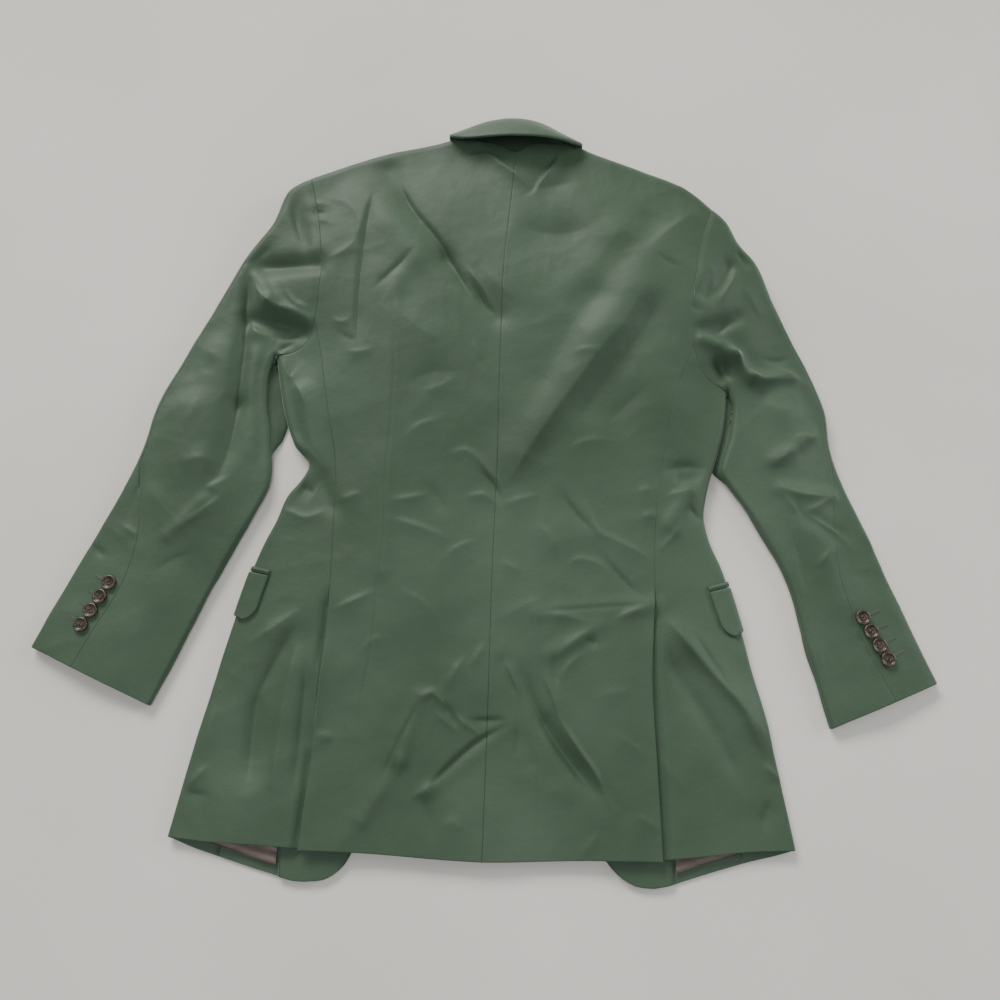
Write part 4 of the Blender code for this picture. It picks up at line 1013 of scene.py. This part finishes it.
def front_rise(points, side):
    """How far a front lies above the floor: over its lapel, and over the other front."""
    y = points[..., 1]
    outward = np.abs(points[..., 0] - line_x(FRONT_EDGES[side], y))
    widths = np.array(LAPEL_WIDTHS[::-1], float)
    reach = np.interp(y, widths[:, 0], widths[:, 1], left=0, right=widths[-1, 1])
    beside = ease((reach + LAPEL_CLEAR * LAPEL_MARGIN - outward) / LAPEL_MARGIN)
    beside = beside * ease((y - LAPEL_END) / LAPEL_END)
    away = to_line(points, SHOULDERS[side], 1)[0]
    beside = beside * ease((away - SHOULDER_CLEAR) / SHOULDER_RISE)
    rise = (LAPEL_CLOTH + LAPEL_GAP) * beside
    if side == "right":
        low, high = CLOSURE
        window = ease((y - low) / CLOSURE_ENDS) * ease((high - y) / CLOSURE_ENDS)
        window = window * ease((CLOSURE_REACH - outward) / CLOSURE_SIDE)
        rise = rise + (CLOTH + LYING_GAP) * window
    return rise


def add_front(side):
    """A front, flat on the floor: shoulder, armhole and side seam, hem, front edge."""
    hole = sleeve_place(side, np.zeros(1), np.linspace(0, 1 - FLOOR_SHARE, 60)[None])[0]
    seam = front_seam_places(side, along(SIDE_EDGES[side], even(120)))
    outer_line = np.vstack([hole, seam[1:]])
    shoulder_line = SHOULDERS[side][::-1]
    across = offsets(lengths(shoulder_line)[-1], 3.2)
    down = offsets(lengths(outer_line)[-1], 3.6)
    top = along(shoulder_line, across)
    bottom = along(after(smooth(HEM_FRONT[side]), *outer_line[-1]), across)
    outer, edge = along(outer_line, down), along(FRONT_EDGES[side], down)
    top[0], bottom[-1] = outer[0], edge[-1]
    plan = patch(top, bottom, outer, edge)
    grid = surface(plan, False)
    grid[..., 2] += front_rise(plan, side)
    add_cloth(f"cloth_front_{side}", turned(grid[:, ::-1], side))


def add_lapel(side):
    """A lapel, flat between its front and the floor."""
    widths = smooth(LAPEL_WIDTHS, 3.0)
    reach = np.maximum(widths[:, 1], LAPEL_LEAST)[:, None] * offsets(60.0, 3.0)
    x = (line_x(FRONT_EDGES[side], widths[:, 0]) - INWARD[side] * LAPEL_ROLL)[:, None]
    x = x - INWARD[side] * reach
    y = np.broadcast_to(widths[:, :1], x.shape)
    grid = turned(np.stack([x, y, np.full(x.shape, LAPEL_CLOTH)], axis=-1)[:, ::-1], side)
    add_cloth(f"cloth_lapel_{side}", grid, wall=LAPEL_CLOTH)


# ---- collar


def add_collar():
    """Stand and fall: from the neckline up to the fold and down over the back."""
    rows = along(smooth(COLLAR, 1.0), offsets(COLLAR_LENGTH, 1.8))
    seam = along(smooth(NECKLINE), rows[:, 0] / 100)
    along_neck = np.gradient(seam, axis=0)
    outward = unit(np.stack([-along_neck[:, 1], along_neck[:, 0]], axis=-1))
    seam = surface(seam, True)
    seam[:, :2] += outward * (SEAM_GAP + COLLAR_CLOTH / 2)
    seam[:, 2] = np.maximum(seam[:, 2], COLLAR_END_HEIGHT) - SEAM_ALLOWANCE
    fold, fall = rows[:, 1:4], rows[:, 4:7]
    size = np.minimum(COLLAR_TURN, 0.25 * np.linalg.norm(fold - seam, axis=1))[:, None]
    below = fold + size * (0, -1.0, -1.0)
    above = fold + size * (0, -1.0, 1.0)
    arch = (above + fall) / 2 + (0, 0, COLLAR_BOW)
    stand = (seam + below) / 2 - (0, 0, COLLAR_BOW)
    profile = np.stack([seam, stand, below, fold, above, arch, fall], axis=1)
    down = offsets(COLLAR_WIDTH, 1.6)
    fine = np.stack([along(smooth(line, 0.5), down) for line in profile], axis=1)
    fine[..., 2] += 0.25 * noise(fine[..., :2], 22, 5)
    grid = fine + normals(fine) * COLLAR_CLOTH / 2
    add_cloth(
        "cloth_collar", grid, wall=COLLAR_CLOTH, radius=COLLAR_ROLL
    )


# ---- inside of the front quarters


def add_quarter_inside(side):
    """Facing along the front edge and lining beside it, where they show below the back."""
    inward, split = INWARD[side], QUARTERS[side]["split"]
    hem = smooth(HEM_FRONT[side], 1.0)
    edge = FRONT_EDGES[side]
    edge = smooth(edge[edge[:, 1] < FACING_TOP][::-1], 1.0)
    outer = np.vstack([hem[hem[:, 0] * inward > split * inward], edge[1:]])
    outer = along(outer, offsets(lengths(outer)[-1], INSIDE_STEP))
    top = np.array((split + inward * FACING_WIDTH, FACING_TOP))
    inner = np.linspace(np.array((split, LINING_TOP - FACING_RUN)), top, len(outer))
    facing = mix(inner, outer, offsets(40.0, INSIDE_STEP)[:, None, None])
    add_floor_layer(f"facing_{side}", inset(facing, 0.8), side)
    beside = hem[:, 0] * inward
    low, high = QUARTERS[side]["lining_end"] * inward, split * inward - LINING_START
    run = hem[(beside > low) & (beside < high)]
    lower = along(run, offsets(lengths(run)[-1], INSIDE_STEP)) + (0, LINING_RISE)
    upper = lower.copy()
    upper[:, 1] = LINING_TOP
    lining = mix(upper, lower, offsets(60.0, 1.6)[:, None, None])
    add_floor_layer(f"front_lining_{side}", inset(lining, 0.3), side, kind="lining")


def add_floor_layer(name, plan, side, kind="cloth"):
    """A layer on the inside of a front; the lining has a fold along its lower edge."""
    z = np.full(plan.shape[:2], INSIDE_LIFT + LINING_CLOTH)
    if kind == "lining":
        down = border_gaps(np.concatenate([plan, z[..., None]], axis=-1))["bottom"]
        for rise, place, width in LINING_FOLDS:
            z = z + rise * bell(down - place, width)
        z = z + 0.5 * noise(plan, 13, 8) + 0.2 * noise(plan, 5, 9)
    else:
        z = z + 0.12 * noise(plan, 20, 7)
    grid = turned(np.concatenate([plan, z[..., None]], axis=-1), side)
    add_cloth(f"cloth_{name}", grid, wall=LINING_CLOTH, kind=kind, radius=0.45)


# ---- pockets


def pocket_grid(side, down_from, down_to, corner):
    """A strip across the side panel, from the pocket's inner end to the folded edge."""
    inner_x, inner_y = POCKETS[side]["inner"]
    rows = []
    for share in offsets(down_to - down_from, POCKET_STEP):
        drop = down_from + (down_to - down_from) * share
        edge_y = POCKETS[side]["outer_y"] - drop
        shift = drop * FLAP_SLANT
        if corner:
            part = max(0.0, (drop - down_to + corner) / corner)
            shift += corner * (1 - math.sqrt(max(0.0, 1 - part * part)))
        start = np.array((inner_x - INWARD[side] * shift, inner_y - drop))
        run = (line_x(SIDE_EDGES[side], edge_y), edge_y) - start
        width = np.linalg.norm(run)
        turns = fold_depth(edge_y) * (1 - np.cos(even(FOLD_STEPS - 1) * math.pi / 2)) / width
        inner = np.linspace(BORDER[-1] / width, 1 - turns[-1], POCKET_COLUMNS)
        shares = np.concatenate([BORDER[:-1] / width, inner, 1 - turns[-2::-1]])
        rows.append(start + run * shares[:, None])
    return surface(np.array(rows), True)


def add_pocket(side):
    """What shows of a pocket: its flap, and the welt above it."""
    lift = POCKET_LIFT + FLAP_CLOTH
    flap = pocket_grid(side, 0.0, FLAP_DROP, FLAP_CORNER)
    welt = pocket_grid(side, -WELT_HEIGHT - WELT_GAP, -WELT_GAP, 0)
    for name, grid, rise in (("flap", flap, lift), ("welt", welt, lift - WELT_SINK)):
        grid = turned(grid[:, ::-1], side)
        grid = grid + normals(grid) * rise
        name = f"cloth_pocket_{name}_{side}"
        add_cloth(name, grid, wall=FLAP_CLOTH, radius=POCKET_ROLL)


# ---- cuff buttons


def ground_frame(place):
    """A place on the upper cloth with its own directions: across, along and up."""
    around = np.array([[place + (x, y) for x in (-6, 0, 6)] for y in (6, 0, -6)], float)
    ground = surface(around, True)
    up = normals(ground)[1, 1]
    across = unit(np.cross((0, 1.0, 0), up))
    return ground[1, 1], np.stack([across, np.cross(up, across), up])


def circle(sides):
    angles = np.arange(sides) * 2 * math.pi / sides
    return np.stack([np.cos(angles), np.sin(angles)], axis=-1)


def tube_faces(rows, sides):
    """Faces between rings of points that follow each other."""
    index = numbers(rows, sides)
    beside = np.roll(index, -1, axis=1)
    return np.stack([index[:-1], index[1:], beside[1:], beside[:-1]], axis=-1).reshape(-1, 4)


def joined(parts):
    points, faces, count = [], [], 0
    for more, shapes in parts:
        points.append(more)
        faces += [tuple(i + count for i in f) for f in shapes]
        count += len(more)
    return np.concatenate(points), faces


def button_mesh():
    """A turned button with a raised rim."""
    profile = smooth(BUTTON_PROFILE, 0.35)[1:-1]
    rings = [np.c_[circle(BUTTON_SIDES) * r, np.full(BUTTON_SIDES, z)] for r, z in profile]
    points = np.concatenate([*rings, [(0, 0, BUTTON_PROFILE[0][1]), (0, 0, 0)]])
    faces = tube_faces(len(profile), BUTTON_SIDES).tolist()
    top, bottom = len(points) - 2, len(points) - 1
    pairs = [(k, (k + 1) % BUTTON_SIDES) for k in range(BUTTON_SIDES)]
    last = top - BUTTON_SIDES
    faces += [(top, a, b) for a, b in pairs]
    faces += [(bottom, last + b, last + a) for a, b in pairs]
    return points, faces


def drilled(made):
    """A button's mesh with the four holes cut through it."""
    n = HOLE_SIDES
    faces = [(k, (k + 1) % n, n + (k + 1) % n, n + k) for k in range(n)]
    faces += [tuple(range(n - 1, -1, -1)), tuple(range(n, 2 * n))]
    parts = []
    for way in ((1, 1), (1, -1), (-1, 1), (-1, -1)):
        places = circle(n) * HOLE_RADIUS + np.array(way) * HOLE_PLACE
        parts.append((np.array([(x, y, z) for z in HOLE_ENDS for x, y in places]), faces))
    tool = add_mesh("holes", *joined(parts))
    cut = made.modifiers.new("holes", "BOOLEAN")
    cut.object = tool
    cut.operation = "DIFFERENCE"
    cut.solver = "EXACT"
    depsgraph = bpy.context.evaluated_depsgraph_get()
    result = bpy.data.meshes.new_from_object(made.evaluated_get(depsgraph))
    made.modifiers.clear()
    bpy.data.objects.remove(tool, do_unlink=True)
    return result


def tube(line):
    """Points and faces of a thread along a line."""
    run = unit(np.gradient(line, axis=0))
    side_way = unit(np.cross(run, (0.3, 0.2, 1.0)))
    other = np.cross(run, side_way)
    x, y = circle(THREAD_SIDES).T[:, None, :, None]
    points = line[:, None] + THREAD_RADIUS * (x * side_way[:, None] + y * other[:, None])
    faces = tube_faces(len(line), THREAD_SIDES)[:, [0, 3, 2, 1]].tolist()
    index = numbers(len(line), THREAD_SIDES)
    return points.reshape(-1, 3), faces + [index[0, ::-1].tolist(), index[-1].tolist()]


def button_threads():
    """Two pairs of stitches over the middle of a button."""
    t = np.linspace(-1, 1, 13)
    turns_down = np.maximum(np.abs(t) - THREAD_BEND, 0) / (1 - THREAD_BEND)
    z = THREAD_LOW + THREAD_ARCH * (1 - t**4) - THREAD_DIP * turns_down
    return joined(
        tube(np.stack([HOLE_PLACE * t, sign * HOLE_PLACE + beside + 0 * t, z], axis=-1))
        for sign in (1, -1)
        for beside in THREAD_PLACES
    )


def add_buttons(side):
    """Four buttons with their threads, and the buttonholes beside them."""
    first, last = (np.array(p, float) for p in BUTTON_ROWS[side])
    points, faces = button_mesh()
    thread_points, thread_faces = button_threads()
    for number, (spin, end) in enumerate(zip(BUTTON_SPIN, BUTTONHOLE_ENDS[side]), start=1):
        place = first + (last - first) * ((number - 1) / 3)
        ground, directions = ground_frame(place)
        c, s = math.cos(spin), math.sin(spin)
        turn = np.array([[c, s, 0], [-s, c, 0], [0, 0, 1]])
        base = ground + directions[2] * BUTTON_LIFT
        name, node = f"button_{side}_{number}", f"cuff_button_{side}_{number}"
        body = add_piece(name, points + np.array(MIDDLE), faces, "button", [node])
        old, body.data = body.data, drilled(body)
        bpy.data.meshes.remove(old)
        mesh = body.data
        co = np.zeros(len(mesh.vertices) * 3)
        mesh.vertices.foreach_get("co", co)
        co = (base - MIDDLE) * MM + co.reshape(-1, 3) @ turn @ directions
        mesh.vertices.foreach_set("co", co.reshape(-1))
        mesh.update()
        mesh.shade_smooth()
        placed = base + thread_points @ turn @ directions
        add_piece(f"button_thread_{side}_{number}", placed, thread_faces, "thread", [])
        add_buttonhole(side, number, place, np.array(end, float))


def add_buttonhole(side, number, place, end):
    """A worked buttonhole: two ridges of stitches round a slit, in the cloth's own lie."""
    size = np.linalg.norm(end - place)
    run = (end - place) / size
    down, across = np.linspace(BUTTONHOLE_START, size, 60)[:, None], np.linspace(-1, 1, 21)
    tip = np.sqrt(1 - ((down - size) / BUTTONHOLE_TIP + 1).clip(0, 1) ** 2)
    plan = place + run * down[..., None]
    plan = plan + np.array((-run[1], run[0])) * (across * BUTTONHOLE_WIDTH * tip)[..., None]
    grid = surface(plan, True)
    ridge = 0.42 * bell(np.abs(across) - 0.52, 0.26) - 0.12 * bell(across, 0.16)
    threads = 0.05 * np.sin(down * 2 * math.pi / STITCH)
    height = 0.18 + ridge + threads * bell(np.abs(across) - 0.55, 0.4)
    way = normals(grid)
    if way[..., 2].mean() < 0:
        way = -way
    edge = ease((1 - np.abs(across)) / 0.12)
    top = grid + way * (height * edge - 0.1)[..., None]
    shapes = quads(numbers(*top.shape[:2]))
    if np.cross(top[1, 0] - top[0, 0], top[0, 1] - top[0, 0])[2] < 0:
        shapes = shapes[:, ::-1]
    name = f"buttonhole_{side}_{number}"
    add_piece(name, top.reshape(-1, 3), shapes.tolist(), "thread", [])


# ---- materials


def feed(tree, sockets, values):
    """Sets each input to its value, or links it to the socket given."""
    for key, value in values.items():
        if isinstance(value, bpy.types.NodeSocket):
            tree.links.new(value, sockets[key])
        else:
            sockets[key].default_value = value


def add_node(tree, kind, inputs, **settings):
    node = tree.nodes.new(kind)
    for key, value in settings.items():
        setattr(node, key, value)
    feed(tree, node.inputs, inputs)
    return node


def new_material(name):
    """A material's node tree and its object coordinates."""
    made = bpy.data.materials.new(name)
    made.use_nodes = True
    tree = made.node_tree
    return made, tree, add_node(tree, "ShaderNodeTexCoord", {}).outputs["Object"]


def finished(made, **inputs):
    """The material with its shader's inputs set or linked."""
    tree = made.node_tree
    values = {key.replace("_", " "): value for key, value in inputs.items()}
    feed(tree, tree.nodes["Principled BSDF"].inputs, values)
    return made


def noise_node(tree, vector, scale, detail=2.0, roughness=0.5):
    inputs = {"Scale": scale, "Detail": detail, "Roughness": roughness, "Vector": vector}
    return add_node(tree, "ShaderNodeTexNoise", inputs).outputs["Fac"]


def grey(value):
    return (value, value, value)


def ramp(tree, fac, low, high, start=0.3, end=0.7):
    node = add_node(tree, "ShaderNodeValToRGB", {"Fac": fac})
    first, last = node.color_ramp.elements
    first.position, last.position = start, end
    first.color, last.color = (*low, 1), (*high, 1)
    return node.outputs["Color"]


def multiplied(tree, a, b):
    inputs = {"Factor": 1.0, "A": a, "B": b}
    node = add_node(tree, "ShaderNodeMix", inputs, data_type="RGBA", blend_type="MULTIPLY")
    return node.outputs["Result"]


def scaled(tree, vector, *scale):
    inputs = {"Scale": scale, "Vector": vector}
    return add_node(tree, "ShaderNodeMapping", inputs).outputs["Vector"]


def bump(tree, height, distance, strength, **onto):
    inputs = {"Distance": distance, "Strength": strength, "Height": height, **onto}
    return add_node(tree, "ShaderNodeBump", inputs).outputs["Normal"]


def woven(name, dark, light, sheen, sheen_tint, roughness, weave, depth):
    """Woven cloth: uneven colour in large soft patches, threads both ways, and a nap."""
    made, tree, place = new_material(name)
    cloth = add_node(tree, "ShaderNodeUVMap", {}, uv_map="cloth").outputs["UV"]
    colour = ramp(tree, noise_node(tree, place, 5.5, 3.0), dark, light, 0.35, 0.68)
    fine = noise_node(tree, scaled(tree, cloth, weave, weave * 0.22, 1), 1.0)
    fleck = ramp(tree, fine, grey(0.86), grey(1.12))
    twill = {"Scale": 1.0, "Distortion": 0.6}
    twill["Vector"] = scaled(tree, cloth, weave * 0.32, weave * 0.32, 1)
    bands = {"wave_type": "BANDS", "bands_direction": "DIAGONAL"}
    twill = add_node(tree, "ShaderNodeTexWave", twill, **bands).outputs["Fac"]
    normal = bump(tree, twill, depth, 0.5)
    slubs = noise_node(tree, scaled(tree, cloth, weave * 0.5, weave * 0.06, 1), 1.0, 3.0)
    normal = bump(tree, slubs, depth * 1.5, 0.5, Normal=normal)
    crumple = noise_node(tree, place, 95, 3.0, 0.55)
    rough = {"To Min": roughness - 0.06, "To Max": roughness + 0.08}
    rough["Value"] = noise_node(tree, place, 30)
    return finished(
        made,
        Base_Color=multiplied(tree, colour, fleck),
        Normal=bump(tree, crumple, 0.0010, 0.45, Normal=normal),
        Roughness=add_node(tree, "ShaderNodeMapRange", rough).outputs["Result"],
        Sheen_Weight=sheen,
        Sheen_Roughness=0.35,
        Sheen_Tint=(*sheen_tint, 1),
        Specular_IOR_Level=0.28,
    )


def horn():
    """Dark polished horn with soft clouds and paler streaks."""
    made, tree, place = new_material("button_horn")
    clouds = noise_node(tree, place, 260, 4.0, 0.6)
    colour = ramp(tree, clouds, (0.012, 0.008, 0.005), (0.085, 0.052, 0.030), 0.38, 0.72)
    streaks = noise_node(tree, scaled(tree, place, 900, 250, 900), 1.0, 3.0)
    pale = ramp(tree, streaks, grey(0.8), (1.35, 1.25, 1.15), 0.35, 0.7)
    scratches = noise_node(tree, place, 1500)
    return finished(
        made,
        Base_Color=multiplied(tree, colour, pale),
        Normal=bump(tree, scratches, 0.00005, 0.25),
        Roughness=ramp(tree, scratches, grey(0.24), grey(0.42)),
        Specular_IOR_Level=0.6,
    )


def thread():
    made, tree, place = new_material("sewing_thread")
    twist = noise_node(tree, place, 2400)
    colour = ramp(tree, twist, (0.018, 0.026, 0.014), (0.050, 0.062, 0.038))
    normal = bump(tree, twist, 0.0001, 0.6)
    return finished(made, Base_Color=colour, Normal=normal, Roughness=0.6, Sheen_Weight=0.2)


def pale_floor():
    made, tree, place = new_material("floor")
    clouds = noise_node(tree, place, 2.2, 3.0)
    colour = ramp(tree, clouds, (0.53, 0.505, 0.46), (0.60, 0.575, 0.53))
    return finished(made, Base_Color=colour, Roughness=0.85)


MATERIALS = {
    "cloth": woven(
        "jacket_cloth", (0.031, 0.056, 0.030), (0.048, 0.079, 0.048), 0.36, (0.70, 0.84, 0.74),
        0.57, 2600, 0.00004,
    ),
    "lining": woven(
        "lining_cloth", (0.085, 0.062, 0.052), (0.135, 0.098, 0.085), 0.35, (0.9, 0.75, 0.7),
        0.34, 3800, 0.00003,
    ),
    "button": horn(),
    "thread": thread(),
}


# ---- floor, light and camera


def add_stage():
    corners = ((-1, -1), (1, -1), (1, 1), (-1, 1))
    corners = [(x * FLOOR_SIZE, y * FLOOR_SIZE, -FLOOR_DEPTH) for x, y in corners]
    floor = add_mesh("floor", corners, [(0, 1, 2, 3)], pale_floor())
    world = bpy.data.worlds.new("sky")
    bpy.context.scene.world = world
    world.use_nodes = True
    background = world.node_tree.nodes["Background"]
    feed(world.node_tree, background.inputs, {"Color": SKY, "Strength": SKY_STRENGTH})
    for name, place, size, energy, colour in LIGHTS:
        light = bpy.data.lights.new(name, "AREA")
        light.shape = "RECTANGLE"
        light.size, light.size_y = size
        light.energy, light.color = energy, colour
        made = add_object(name, light)
        made.location = place
        made.rotation_euler = (-Vector(place)).to_track_quat("-Z", "Y").to_euler()


def add_camera():
    camera = bpy.data.cameras.new("camera")
    camera.sensor_width = SENSOR
    camera.lens = VIEW_LENGTH / 1000 * SENSOR
    made = add_object("camera", camera)
    made.location = [v * MM for v in np.array(CAMERA_PLACE) - MIDDLE]
    made.rotation_euler = (CAMERA_TILT, 0, 0)
    bpy.context.scene.camera = made


def main():
    add_stage()
    for side in SIDES:
        add_front(side)
        add_side(side)
        add_back(side)
        add_sleeve(side)
        add_quarter_inside(side)
        add_pocket(side)
        add_buttons(side)
    for side in SIDES:
        add_lapel(side)
    add_collar()
    add_camera()


main()
